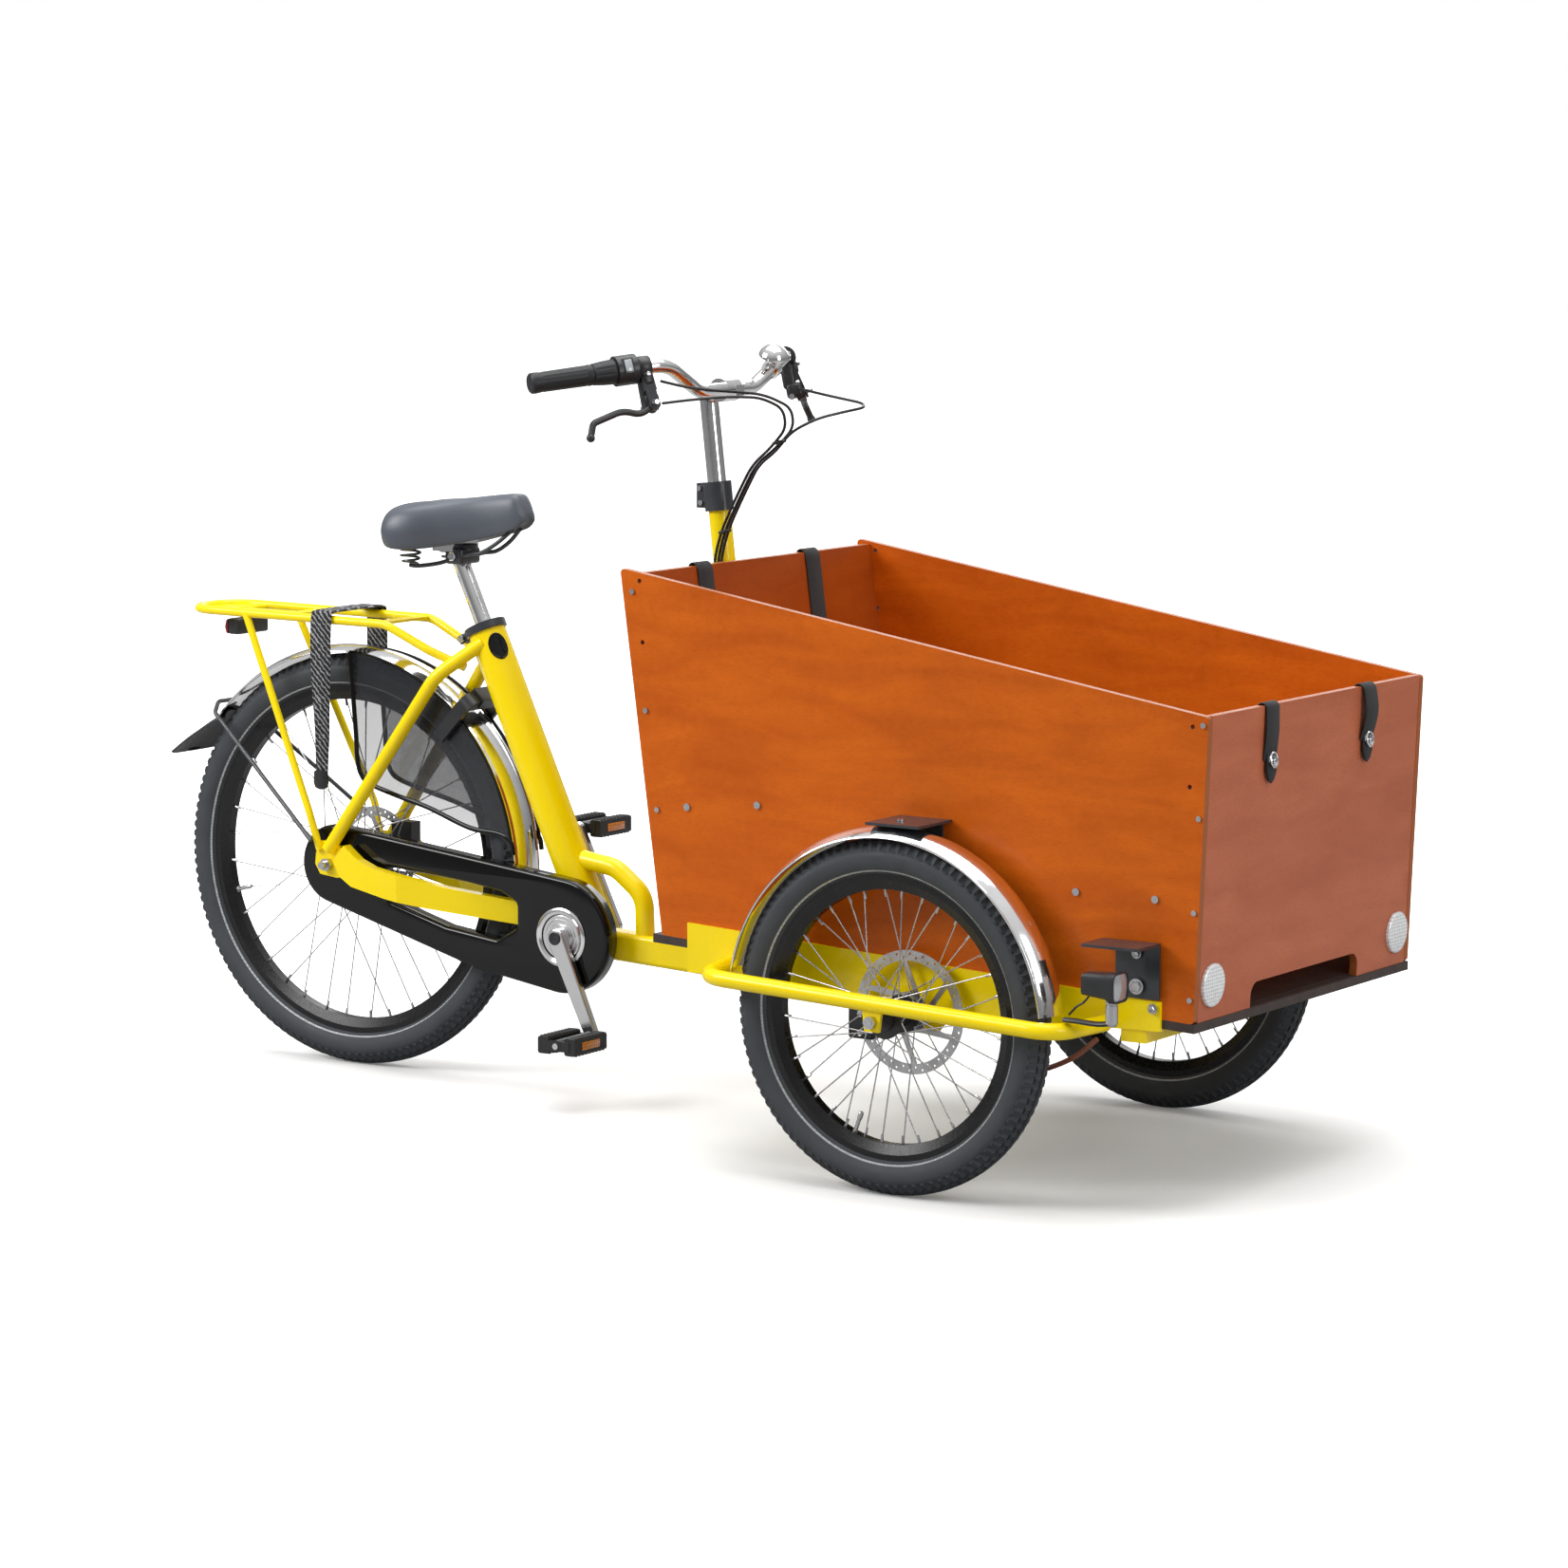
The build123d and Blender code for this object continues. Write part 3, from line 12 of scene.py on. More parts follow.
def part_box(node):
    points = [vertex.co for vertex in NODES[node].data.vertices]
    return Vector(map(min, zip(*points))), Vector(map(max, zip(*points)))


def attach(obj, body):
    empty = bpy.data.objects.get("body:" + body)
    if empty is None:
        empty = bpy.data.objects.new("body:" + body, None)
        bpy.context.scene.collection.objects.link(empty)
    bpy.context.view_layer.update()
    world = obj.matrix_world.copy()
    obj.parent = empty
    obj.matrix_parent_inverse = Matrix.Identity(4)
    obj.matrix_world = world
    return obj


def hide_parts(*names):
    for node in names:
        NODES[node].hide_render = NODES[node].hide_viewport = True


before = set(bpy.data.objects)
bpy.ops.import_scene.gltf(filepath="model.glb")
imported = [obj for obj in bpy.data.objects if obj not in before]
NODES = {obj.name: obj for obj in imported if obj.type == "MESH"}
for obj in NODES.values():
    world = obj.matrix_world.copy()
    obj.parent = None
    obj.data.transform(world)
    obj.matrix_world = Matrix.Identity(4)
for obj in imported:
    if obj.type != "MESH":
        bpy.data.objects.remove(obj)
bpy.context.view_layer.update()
SCENE = bpy.context.scene
SIDES = ((-1, "right"), (1, "left"))


# ---- places read from the frame
def centre(node):
    lo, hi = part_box(node)
    return (lo + hi) / 2


REAR_AXLE_X = centre("rear_tyre").x


def at(x, y, z):
    """A point given in millimetres from under the rear axle, as a point of the frame."""
    return Vector((REAR_AXLE_X + x / 1000, y / 1000, z / 1000))


# ---- camera, floor and light
CAMERA_AZIMUTH = 33.27
CAMERA_ELEVATION = 7.40
CAMERA_ROLL = 0.14
CAMERA_DISTANCE = 7.913
CAMERA_TARGET = Vector((0.1315, 0.0, 0.517))
CAMERA_LENS = 118.8


def make_camera():
    a = math.radians(CAMERA_AZIMUTH)
    e = math.radians(CAMERA_ELEVATION)
    back = Vector((math.sin(a) * math.cos(e), -math.cos(a) * math.cos(e), math.sin(e)))
    data = bpy.data.cameras.new("camera")
    data.lens = CAMERA_LENS
    data.sensor_width = 36.0
    cam = bpy.data.objects.new("camera", data)
    SCENE.collection.objects.link(cam)
    cam.rotation_mode = "QUATERNION"
    turn = (-back).to_track_quat("-Z", "Y")
    roll = Matrix.Rotation(math.radians(CAMERA_ROLL), 4, back).to_quaternion()
    cam.rotation_quaternion = roll @ turn
    cam.location = CAMERA_TARGET + back * CAMERA_DISTANCE
    SCENE.camera = cam


def area_light(name, place, target, size, power):
    data = bpy.data.lights.new(name, "AREA")
    data.shape = "RECTANGLE"
    data.size = size[0]
    data.size_y = size[1]
    data.energy = power
    light = bpy.data.objects.new(name, data)
    SCENE.collection.objects.link(light)
    light.location = place
    light.rotation_mode = "QUATERNION"
    light.rotation_quaternion = (Vector(target) - Vector(place)).to_track_quat("-Z", "Y")


def make_world():
    """A white backdrop, and softer light from the surroundings, brightest from above."""
    world = bpy.data.worlds.new("studio")
    world.use_nodes = True
    nodes = Nodes(world.node_tree)
    split = nodes.add("ShaderNodeSeparateXYZ")
    nodes.feed(split.inputs["Vector"], nodes.add("ShaderNodeTexCoord").outputs["Generated"])
    height = nodes.range(split.outputs["Z"], 0.0, 1.0, -1.0, 1.0)
    graded = nodes.ramp(height, [(0.45, (0.10, 0.10, 0.10)), (0.95, (0.75, 0.75, 0.75))])
    seen = nodes.add("ShaderNodeLightPath").outputs["Is Camera Ray"]
    nodes.feed(nodes.tree.nodes["Background"].inputs["Color"], nodes.mix(seen, graded, (1.0, 1.0, 1.0)))
    SCENE.world = world


def make_studio():
    SCENE.view_settings.view_transform = "Standard"
    make_world()
    bpy.ops.mesh.primitive_plane_add(size=60, location=(0, 0, 0))
    floor = bpy.context.object
    floor.name = "studio_floor"
    floor.data.materials.append(floor_material())
    area_light("key", (-2.9, -3.4, 3.2), (-0.2, 0, 0.5), (2.8, 2.0), 175)
    area_light("top", (0.0, 0.4, 5.0), (-0.1, 0, 0.4), (5.0, 4.0), 210)
    area_light("front_fill", (5.0, -1.2, 2.2), (0.4, 0, 0.4), (1.8, 2.4), 66)
    area_light("back_fill", (-2.0, 5.5, 3.0), (0, 0, 0.5), (4.0, 3.0), 70)


# ---- material helpers
class Nodes:
    """Short ways to build a node tree."""

    coords = None

    def __init__(self, tree):
        self.tree = tree

    def add(self, kind, inputs=None, **values):
        node = self.tree.nodes.new(kind)
        for key, value in values.items():
            setattr(node, key, value)
        for key, value in (inputs or {}).items():
            node.inputs[key].default_value = value
        return node

    def feed(self, slot, value):
        """Link a socket to a slot, or give the slot a plain number or colour."""
        if isinstance(value, bpy.types.NodeSocket):
            self.tree.links.new(value, slot)
        elif isinstance(value, tuple):
            slot.default_value = (*value, 1)
        else:
            slot.default_value = value

    def scaled(self, scale, shift=0.0):
        mapping = self.add("ShaderNodeMapping", {"Scale": scale, "Location": (shift, shift, shift)})
        self.feed(mapping.inputs["Vector"], self.coords)
        return mapping.outputs["Vector"]

    def texture(self, kind, output, inputs, vector=None, **values):
        node = self.add("ShaderNodeTex" + kind, inputs, **values)
        self.feed(node.inputs["Vector"], vector or self.coords)
        return node.outputs[output]

    def noise(self, scale, detail=4.0, roughness=0.55, vector=None, distortion=0.0):
        inputs = {"Scale": scale, "Detail": detail, "Roughness": roughness, "Distortion": distortion}
        return self.texture("Noise", "Fac", inputs, vector)

    def ramp(self, fac, stops):
        node = self.add("ShaderNodeValToRGB")
        ramp = node.color_ramp
        while len(ramp.elements) < len(stops):
            ramp.elements.new(0.5)
        for element, (place, colour) in zip(ramp.elements, stops):
            element.position = place
            element.color = (*colour, 1)
        self.feed(node.inputs["Fac"], fac)
        return node.outputs["Color"]

    def range(self, fac, low, high, from_low=0.3, from_high=0.7):
        inputs = {"From Min": from_low, "From Max": from_high, "To Min": low, "To Max": high}
        node = self.add("ShaderNodeMapRange", inputs)
        self.feed(node.inputs["Value"], fac)
        return node.outputs["Result"]

    def math(self, operation, *values):
        node = self.add("ShaderNodeMath", operation=operation)
        for slot, value in zip(node.inputs, values):
            self.feed(slot, value)
        return node.outputs["Value"]

    def mix(self, fac, a, b):
        node = self.add("ShaderNodeMix", data_type="RGBA")
        for slot, value in ((0, fac), (6, a), (7, b)):
            self.feed(node.inputs[slot], value)
        return node.outputs[2]


class Mat(Nodes):
    """A material with one shader, textured in the object's own coordinates."""

    def __init__(self, name):
        self.material = bpy.data.materials.new(name)
        self.material.use_nodes = True
        super().__init__(self.material.node_tree)
        self.shader = self.tree.nodes["Principled BSDF"]
        self.coords = self.add("ShaderNodeTexCoord").outputs["Object"]

    def set(self, **values):
        for key, value in values.items():
            self.shader.inputs[key.replace("_", " ")].default_value = value

    def bump(self, height, strength, distance=0.001):
        node = self.add("ShaderNodeBump", {"Strength": strength, "Distance": distance})
        self.feed(node.inputs["Height"], height)
        previous = self.shader.inputs["Normal"]
        if previous.is_linked:
            self.feed(node.inputs["Normal"], previous.links[0].from_socket)
        self.feed(previous, node.outputs["Normal"])

    def colour(self, socket):
        self.feed(self.shader.inputs["Base Color"], socket)

    def tones(self, fac, colour, dark, light):
        """A colour that varies between a darker and a lighter shade of itself."""
        self.colour(self.ramp(fac, [(0.3, shade(colour, dark)), (0.7, shade(colour, light))]))

    def rough(self, socket):
        self.feed(self.shader.inputs["Roughness"], socket)


def shade(colour, factor):
    return tuple(c * factor for c in colour)


def coated(name, colour, rough, vary, vary_scale, bump, bump_scale, metallic=0.0, coat=0.0, rough_vary=0.05,
           specular=0.5):
    """A painted, plated or moulded surface: slow tone changes, fine texture and uneven gloss."""
    m = Mat(name)
    m.tones(m.noise(vary_scale, 5.0), colour, 1 - vary, 1 + vary)
    m.rough(m.range(m.noise(vary_scale * 6, 6.0), rough - rough_vary, rough + rough_vary))
    m.bump(m.noise(bump_scale, 3.0), bump, 0.0004)
    m.set(Metallic=metallic, Coat_Weight=coat, Coat_Roughness=0.08, Specular_IOR_Level=specular)
    return m.material


def floor_material():
    """Pale floor that blends into the white backdrop for the camera, and stays quieter in reflections; for
    the camera it also glows, a painted light that lifts its shadows a little near the trike.
    """
    m = Mat("pale_floor")
    seen = m.add("ShaderNodeLightPath").outputs["Is Camera Ray"]
    pale = m.ramp(m.noise(0.8), [(0.3, (0.86, 0.86, 0.855)), (0.7, (0.89, 0.89, 0.885))])
    m.colour(m.mix(seen, (0.36, 0.36, 0.36), pale))
    distance = m.add("ShaderNodeVectorMath", operation="LENGTH")
    m.feed(distance.inputs[0], m.coords)
    # painted light: a glow that only the camera sees, faint near the trike and full from 2.6 m out
    painted_glow = m.range(distance.outputs["Value"], 0.10, 1.0, 0.9, 2.6)
    m.feed(m.shader.inputs["Emission Strength"], m.math("MULTIPLY", seen, painted_glow))
    m.set(Emission_Color=(1, 1, 1, 1), Roughness=0.8, Specular_IOR_Level=0.1)
    return m.material


def chrome(name, tint, rough):
    """Bright metal with faint streaks."""
    m = Mat(name)
    m.tones(m.noise(30.0, 6.0, 0.6), tint, 0.94, 1.03)
    m.rough(m.range(m.noise(60.0, 5.0), rough - 0.03, rough + 0.05))
    m.bump(m.noise(700.0, 2.0), 0.02, 0.0002)
    m.set(Metallic=1.0)
    return m.material


def webbing_material():
    """Black woven tape: a fine twill in both directions."""
    m = Mat("black_webbing")
    twill = m.texture("Wave", "Fac", {"Scale": 420.0, "Distortion": 1.2}, bands_direction="DIAGONAL")
    m.colour(m.ramp(twill, [(0.2, (0.006, 0.006, 0.007)), (0.8, (0.022, 0.022, 0.024))]))
    m.bump(twill, 0.5, 0.0006)
    m.set(Roughness=0.82, Sheen_Weight=0.1)
    return m.material


def piece(name, shape, look, body, sharp=35.0):
    """A mesh object that rides on a body: smooth shaded, with edges kept sharp above an angle."""
    verts, faces = shape
    mesh = bpy.data.meshes.new(name)
    mesh.from_pydata([tuple(v) for v in verts], [], faces)
    tool = bmesh.new()
    tool.from_mesh(mesh)
    bmesh.ops.remove_doubles(tool, verts=tool.verts, dist=1e-7)
    bmesh.ops.recalc_face_normals(tool, faces=tool.faces)
    tool.to_mesh(mesh)
    tool.free()
    for face in mesh.polygons:
        face.use_smooth = True
    mesh.set_sharp_from_angle(angle=math.radians(sharp))
    mesh.materials.append(LOOKS[look])
    obj = bpy.data.objects.new(name, mesh)
    SCENE.collection.objects.link(obj)
    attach(obj, body)
    return obj


def modify(obj, kind, **values):
    modifier = obj.modifiers.new(kind.lower(), kind)
    for key, value in values.items():
        setattr(modifier, key, value)
    return modifier


def loft(rings, closed=True, caps=True, loop=False):
    """Faces between rings of points; a loop joins the last ring to the first."""
    n = len(rings[0])
    verts = [v for ring in rings for v in ring]
    faces = []
    for i in range(len(rings) if loop else len(rings) - 1):
        a, b = i * n, (i + 1) % len(rings) * n
        for j in range(n if closed else n - 1):
            k = (j + 1) % n
            faces.append((a + j, a + k, b + k, b + j))
    if caps and not loop:
        faces.append(tuple(range(n)))
        last = (len(rings) - 1) * n
        faces.append(tuple(range(last, last + n)))
    return verts, faces


def circle(count, start=0.0):
    """Angles evenly round a circle."""
    return [2 * math.pi * (i + start) / count for i in range(count)]


def join(parts):
    """Several (verts, faces) as one."""
    verts, faces = [], []
    for v, f in parts:
        base = len(verts)
        verts += v
        faces += [tuple(i + base for i in face) for face in f]
    return verts, faces


def basis(direction, up=None):
    """Two unit vectors across a direction; the second leans to up."""
    d = Vector(direction).normalized()
    up = Vector(up) if up else (Vector((0, 0, 1)) if abs(d.z) < 0.9 else Vector((1, 0, 0)))
    u = d.cross(up).normalized()
    return u, u.cross(d).normalized()


def lathe(origin, direction, profile, segments=32, loop=False):
    """A turned shape from (distance along, radius) in millimetres; a loop is a ring with a closed profile."""
    d = Vector(direction).normalized()
    u, v = basis(d)
    rings = []
    for along, radius in profile:
        c = Vector(origin) + d * along / 1000
        rings.append([c + (u * math.cos(a) + v * math.sin(a)) * radius / 1000 for a in circle(segments)])
    return loft(rings, loop=loop)


def curve_points(points, steps):
    """A smooth line through points given in millimetres."""
    pts = [at(*p) for p in points]
    ends = [pts[0] * 2 - pts[1]] + pts + [pts[-1] * 2 - pts[-2]]
    out = []
    for a, b, c, d in zip(ends, ends[1:], ends[2:], ends[3:]):
        for i in range(steps):
            t = i / steps
            out.append(0.5 * ((2 * b) + (c - a) * t + (2 * a - 5 * b + 4 * c - d) * t * t
                              + (3 * b - a - 3 * c + d) * t ** 3))
    return out + [pts[-1]]


def tube(points, radius, segments=12, flat=1.0, up=None):
    """A bar along a line of points, its radius in millimetres, round, or flattened across up."""
    r = radius / 1000
    rings = []
    for i, p in enumerate(points):
        run = points[min(i + 1, len(points) - 1)] - points[max(i - 1, 0)]
        u, v = basis(run, up)
        rings.append([p + u * math.cos(a) * r + v * math.sin(a) * r * flat for a in circle(segments)])
    return loft(rings)


def taken(tool):
    """The vertices and faces of a bmesh, which is then freed."""
    tool.verts.index_update()
    verts = [v.co.copy() for v in tool.verts]
    faces = [tuple(v.index for v in f.verts) for f in tool.faces]
    tool.free()
    return verts, faces


def block(middle, size, axes=None, bevel=1, steps=2):
    """A rounded block, its size along three axes in millimetres."""
    x, y, z = axes or (Vector((1, 0, 0)), Vector((0, 1, 0)), Vector((0, 0, 1)))
    tool = bmesh.new()
    bmesh.ops.create_cube(tool, size=1.0)
    for vert in tool.verts:
        vert.co = Vector([c * s / 1000 for c, s in zip(vert.co, size)])
    bmesh.ops.bevel(tool, geom=tool.edges[:], offset=bevel / 1000, segments=steps, profile=0.5,
                    affect="EDGES")
    verts, faces = taken(tool)
    return [Vector(middle) + x * v.x + y * v.y + z * v.z for v in verts], faces


def slab(points, thickness, normal, bevel):
    """A plate of an outline, thick to both sides along its normal, with softened edges."""
    n = Vector(normal).normalized() * thickness / 2
    tool = bmesh.new()
    face = tool.faces.new([tool.verts.new(Vector(p) - n) for p in points])
    made = bmesh.ops.extrude_face_region(tool, geom=[face])
    for item in made["geom"]:
        if isinstance(item, bmesh.types.BMVert):
            item.co += 2 * n
    rim = [e for e in tool.edges
           if abs((e.verts[0].co - e.verts[1].co).normalized().dot(n.normalized())) < 0.5]
    bmesh.ops.bevel(tool, geom=rim, offset=bevel, segments=2, profile=0.5, affect="EDGES")
    return taken(tool)


# ---- wheels
TYRE_SECTION = 0.0275          # radius of the tyre's section
TYRE_WALL = 0.004
TYRE_LINING = (149, 138, 126, 100, 33, 0)      # angles that the inside of the tyre keeps
GROOVE = 0.0030                # depth of the tread
TREAD_STEPS = 5                # rings for each tread block and the gap after it
STRIPE = (135.8, 128.7)        # the reflective line, in degrees round the section from the crown
SPOKES = 36
FRONT_HUB = (1273.7, 396.9, 258)
REAR_HUB = (0, 0, 334.5)


def tread_rows():
    """Angles round the tyre's section from the crown, and which of them carry blocks."""
    half = [(0, "rib"), (8, "rib"), (9.5, "groove"), (14, "groove"), (15.5, "inner"), (33, "inner"),
            (35, "groove"), (38, "groove"), (40, "outer"), (66, "outer"), (70, "shoulder"), (76, "wall"),
            (86, "wall"), (100, "wall"), (114, "wall"), (126, "wall"), (129, "stripe"), (135.5, "stripe"),
            (138, "wall"), (149, "wall")]
    return [(-a, kind) for a, kind in reversed(half[1:])] + half


def make_tyre(node, body, blocks):
    """A treaded tyre with a reflective line on each wall, in place of the plain one."""
    lo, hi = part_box(node)
    c = (lo + hi) / 2
    mid = (hi.z - lo.z) / 2 - TYRE_SECTION
    rows = tread_rows()

    def spot(turn, phi, drop):
        p = math.radians(phi)
        r = TYRE_SECTION - drop
        radial = mid + r * math.cos(p)
        return Vector((c.x + radial * math.cos(turn), c.y + r * math.sin(p), c.z + radial * math.sin(turn)))

    rings = []
    for i, turn in enumerate(circle(blocks * TREAD_STEPS)):
        ring = []
        for phi, kind in rows:
            skew = int(abs(phi) / 16) + (2 if phi < 0 else 0)
            gap = (i + skew) % TREAD_STEPS < 2
            drop = GROOVE if kind == "groove" or kind in ("inner", "outer") and gap else 0.0
            ring.append(spot(turn, phi, GROOVE * 0.3 if kind == "shoulder" else drop))
        ring += [spot(turn, phi, TYRE_WALL) for phi, _ in reversed(rows) if abs(phi) in TYRE_LINING]
        rings.append(ring)
    obj = piece(node + "_treaded", loft(rings, loop=True), "tyre", body, sharp=28)
    obj.data.materials.append(LOOKS["reflective"])
    low, high = (mid + TYRE_SECTION * math.cos(math.radians(phi)) for phi in STRIPE)
    wall = TYRE_SECTION * math.sin(math.radians(136)) - 0.0004
    for face in obj.data.polygons:
        spots = [obj.data.vertices[v].co for v in face.vertices]
        radii = [math.hypot(s.x - c.x, s.z - c.z) for s in spots]
        offs = [abs(s.y - c.y) for s in spots]
        if min(radii) > low - 1e-5 and max(radii) < high + 1e-5 and min(offs) > wall:
            face.material_index = 1
    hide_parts(node)


def wheel_trim(node, body, valve_angle):
    """Spoke nipples round the inside of a rim, and the valve."""
    lo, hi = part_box(node)
    c = (lo + hi) / 2
    inner = (hi.z - lo.z) / 2 - 0.025
    parts = []
    for i, a in enumerate(circle(SPOKES, 0.5)):
        d = Vector((math.cos(a), 0, math.sin(a)))
        side = 0.003 if i % 2 else -0.003
        parts.append(lathe(c + d * (inner - 0.012) + Vector((0, side, 0)), d,
                           [(0, 1.3), (1, 1.8), (9, 2.1), (12.5, 2.1)], 8))
    piece(body + "_nipples", join(parts), "steel", body)
    a = math.radians(valve_angle)
    d = Vector((math.cos(a), 0, math.sin(a)))
    stem = lathe(c + d * (inner + 0.002), -d, [(0, 4.2), (4, 4.2), (5, 3), (22, 3), (23, 3.8), (31, 3.8),
                                               (33, 2.6)], 14)
    piece(body + "_valve", stem, "steel", body)


def arc_points(hub, radius, y, first, last, steps):
    """Points of an arc in the plane of a wheel, in degrees up from the front."""
    turns = (math.radians(first + (last - first) * i / steps) for i in range(steps + 1))
    return [hub + Vector((math.cos(a) * radius, y, math.sin(a) * radius)) for a in turns]


def fender_beads():
    """Rolled edges of the three mudguards."""
    x, y, z = FRONT_HUB
    for tag, body, hub, radius, first, last in (("right", "chassis", at(x, -y, z), 0.261, 6, 170),
                                                ("left", "chassis", at(x, y, z), 0.261, 6, 170),
                                                ("rear", "rear_frame", at(*REAR_HUB), 0.3395, 1, 141)):
        parts = [tube(arc_points(hub, radius, side * 0.0318, first, last, 96), 1.7, 8, 1.0, (0, 1, 0))
                 for side in (-1, 1)]
        piece(f"fender_edge_{tag}", join(parts), "chrome", body)


def make_wheels():
    wheels = (("front_wheel_right", 100, 250), ("front_wheel_left", 100, 205), ("rear_wheel", 130, 196))
    for body, blocks, _ in wheels:
        make_tyre(body.replace("wheel", "tyre"), body, blocks)
    for body, _, valve_angle in wheels:
        wheel_trim(body.replace("wheel", "rim"), body, valve_angle)


# ---- saddle
COIL_TURNS = 4


def make_saddle():
    """A padded city saddle: wide rear, raised blunt nose and a rolled skirt."""
    stations = [(104, 40, 893, 872), (109, 72, 906, 860), (120, 91, 916, 851), (140, 98, 922, 848),
                (168, 94, 925, 848), (196, 78, 927, 851), (222, 58, 930, 856), (250, 42, 933, 862),
                (280, 32, 937, 869), (308, 28, 940, 876), (326, 26, 941, 882), (333, 24, 940, 885),
                (341, 21, 927, 891), (347, 16, 914, 896), (349, 10, 908, 899)]
    rings = []
    for x, w, top, low in stations:
        mid = low + (top - low) * 0.42
        crown = min(1.0, w / 60)
        profile = [(0, top - 2.5 * crown), (0.35, top), (0.68, top - 3), (0.90, top - 13), (1.0, mid + 4),
                   (0.985, mid - 8), (0.93, low + 3), (0.84, low), (0.72, low + 5), (0.4, low + 9),
                   (0, low + 10)]
        right = [at(x, -w * k, z) for k, z in profile]
        left = [at(x, w * k, z) for k, z in reversed(profile[1:-1])]
        rings.append(right + left)
    obj = piece("saddle_pad", loft(rings), "saddle", "seat", sharp=80)
    modify(obj, "SUBSURF", levels=2, render_levels=2)
    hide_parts("saddle")


def make_saddle_springs():
    """Open coil springs at the rear, and the two wire rails from them through the clamp to the nose."""
    coils, rails = [], []
    for side in (-1, 1):
        line = []
        for i in range(COIL_TURNS * 20 + 1):
            a = 2 * math.pi * i / 20
            r = 13.5 - 2.0 * math.cos(a / COIL_TURNS)
            line.append(at(152 + r * math.cos(a), side * 52 + r * math.sin(a), 824 + 36 * i / 80))
        coils.append(tube(line, 2.1, 8))
        coils.append(lathe(at(152, side * 52, 858), (0, 0, 1), [(0, 10), (0, 16), (3, 16), (3, 10)], 24))
        wire = [(150, side * 52, 823), (164, side * 47, 822), (190, side * 30, 826), (214, side * 21, 834),
                (244, side * 20, 842), (268, side * 20, 846), (296, side * 17, 862), (322, side * 10, 884)]
        rails.append(tube(curve_points(wire, 6), 3.4, 12))
    obj = piece("saddle_springs", join(coils), "black", "seat")
    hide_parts("saddle_rails")
    piece("saddle_wires", join(rails), "black", "seat")
    body = join([block(at(216, 0, 838), (34, 52, 26), None, 5, 3),
                 block(at(216, 0, 852), (40, 30, 10), None, 3, 2)])
    piece("saddle_clamp", body, "black", "seat")
    nuts = [lathe(at(216, side * 26, 838), (0, side, 0), [(-1, 8), (4, 8), (5.5, 6)], 6)
            for side in (-1, 1)]
    piece("saddle_clamp_nuts", join(nuts), "steel", "seat", sharp=20)


LEAN = math.radians(24.8)      # the main tube, back from upright
UP_TUBE = Vector((-math.sin(LEAN), 0, math.cos(LEAN)))


def tube_axis(z):
    """The middle of the main tube at a height in millimetres."""
    return at(478 - (z - 254) * math.tan(LEAN), 0, z)


def make_seat_clamp():
    """Slim collar round the top of the main tube, with a silver cross bolt behind."""
    up = UP_TUBE
    foot = tube_axis(724.0)
    collar = lathe(foot - up * 0.006, up, [(0, 30.2), (0, 33), (1, 33.8), (12, 33.8), (13, 33), (14.5, 25),
                                           (14.5, 15), (7.5, 15), (7.5, 30.2)], 64, loop=True)
    back = Vector((-math.cos(LEAN), 0, -math.sin(LEAN)))
    ears = [block(foot + back * 0.041 + Vector((0, side * 0.0065, 0)), (20, 7.5, 15),
                  (back, Vector((0, 1, 0)), up), 2) for side in (-1, 1)]
    obj = piece("seat_collar", join([collar] + ears), "black", "rear_frame")
    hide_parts("seat_clamp")
    bolt = lathe(foot + back * 0.043 + Vector((0, -0.016, 0)), (0, 1, 0),
                 [(0, 3), (0, 5.8), (5, 5.8), (5.5, 3), (26.5, 3), (27, 5.5), (32, 5.5), (32, 3)], 20)
    piece("seat_collar_bolt", bolt, "steel", "rear_frame", sharp=25)


# ---- handlebar
BAR_BEND = (720, 161, 1161)
BAR_END = (602, 343, 1136)


def bar_point(side, back):
    """A point on the straight of the bar, back from its end in millimetres, and the direction to the end."""
    end = at(BAR_END[0], side * BAR_END[1], BAR_END[2])
    bend = at(BAR_BEND[0], side * BAR_BEND[1], BAR_BEND[2])
    out = (end - bend).normalized()
    return end - out * back / 1000, out


def square_to(direction, out):
    """The part of a direction that is square to out, as a unit vector."""
    direction = Vector(direction)
    return (direction - out * direction.dot(out)).normalized()


def sleeve(start, out, profile, count, rib, every):
    """Rings of a turned sleeve in millimetres; on its ribbed runs two of every few steps stand out by rib."""
    u, v = basis(out)
    rings = []
    for along, radius, ribbed in profile:
        radii = [radius + (rib if ribbed and i % every < 2 else 0) for i in range(count)]
        rings.append([start + out * along / 1000 + (u * math.cos(a) + v * math.sin(a)) * r / 1000
                      for a, r in zip(circle(count), radii)])
    return rings


def make_grips():
    """Rubber grips with lengthwise ribs, a collar and a closed end."""
    profile = [(0, 11.3, 0), (0, 15.4, 0), (3, 16, 0), (7, 16, 0), (9, 15.2, 0), (11, 15.2, 1), (78, 14.8, 1),
               (80, 14.8, 0), (84, 15.4, 0), (92, 16, 0), (97, 15.6, 0), (99, 13.5, 0), (99.4, 8, 0),
               (99, 2, 0)]
    for side, name in SIDES:
        rings = sleeve(*bar_point(side, 96), profile, 64, 0.55, 4)
        obj = piece(f"grip_{name}", loft(rings), "rubber", "steering_bar", sharp=30)
        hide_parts("grips")


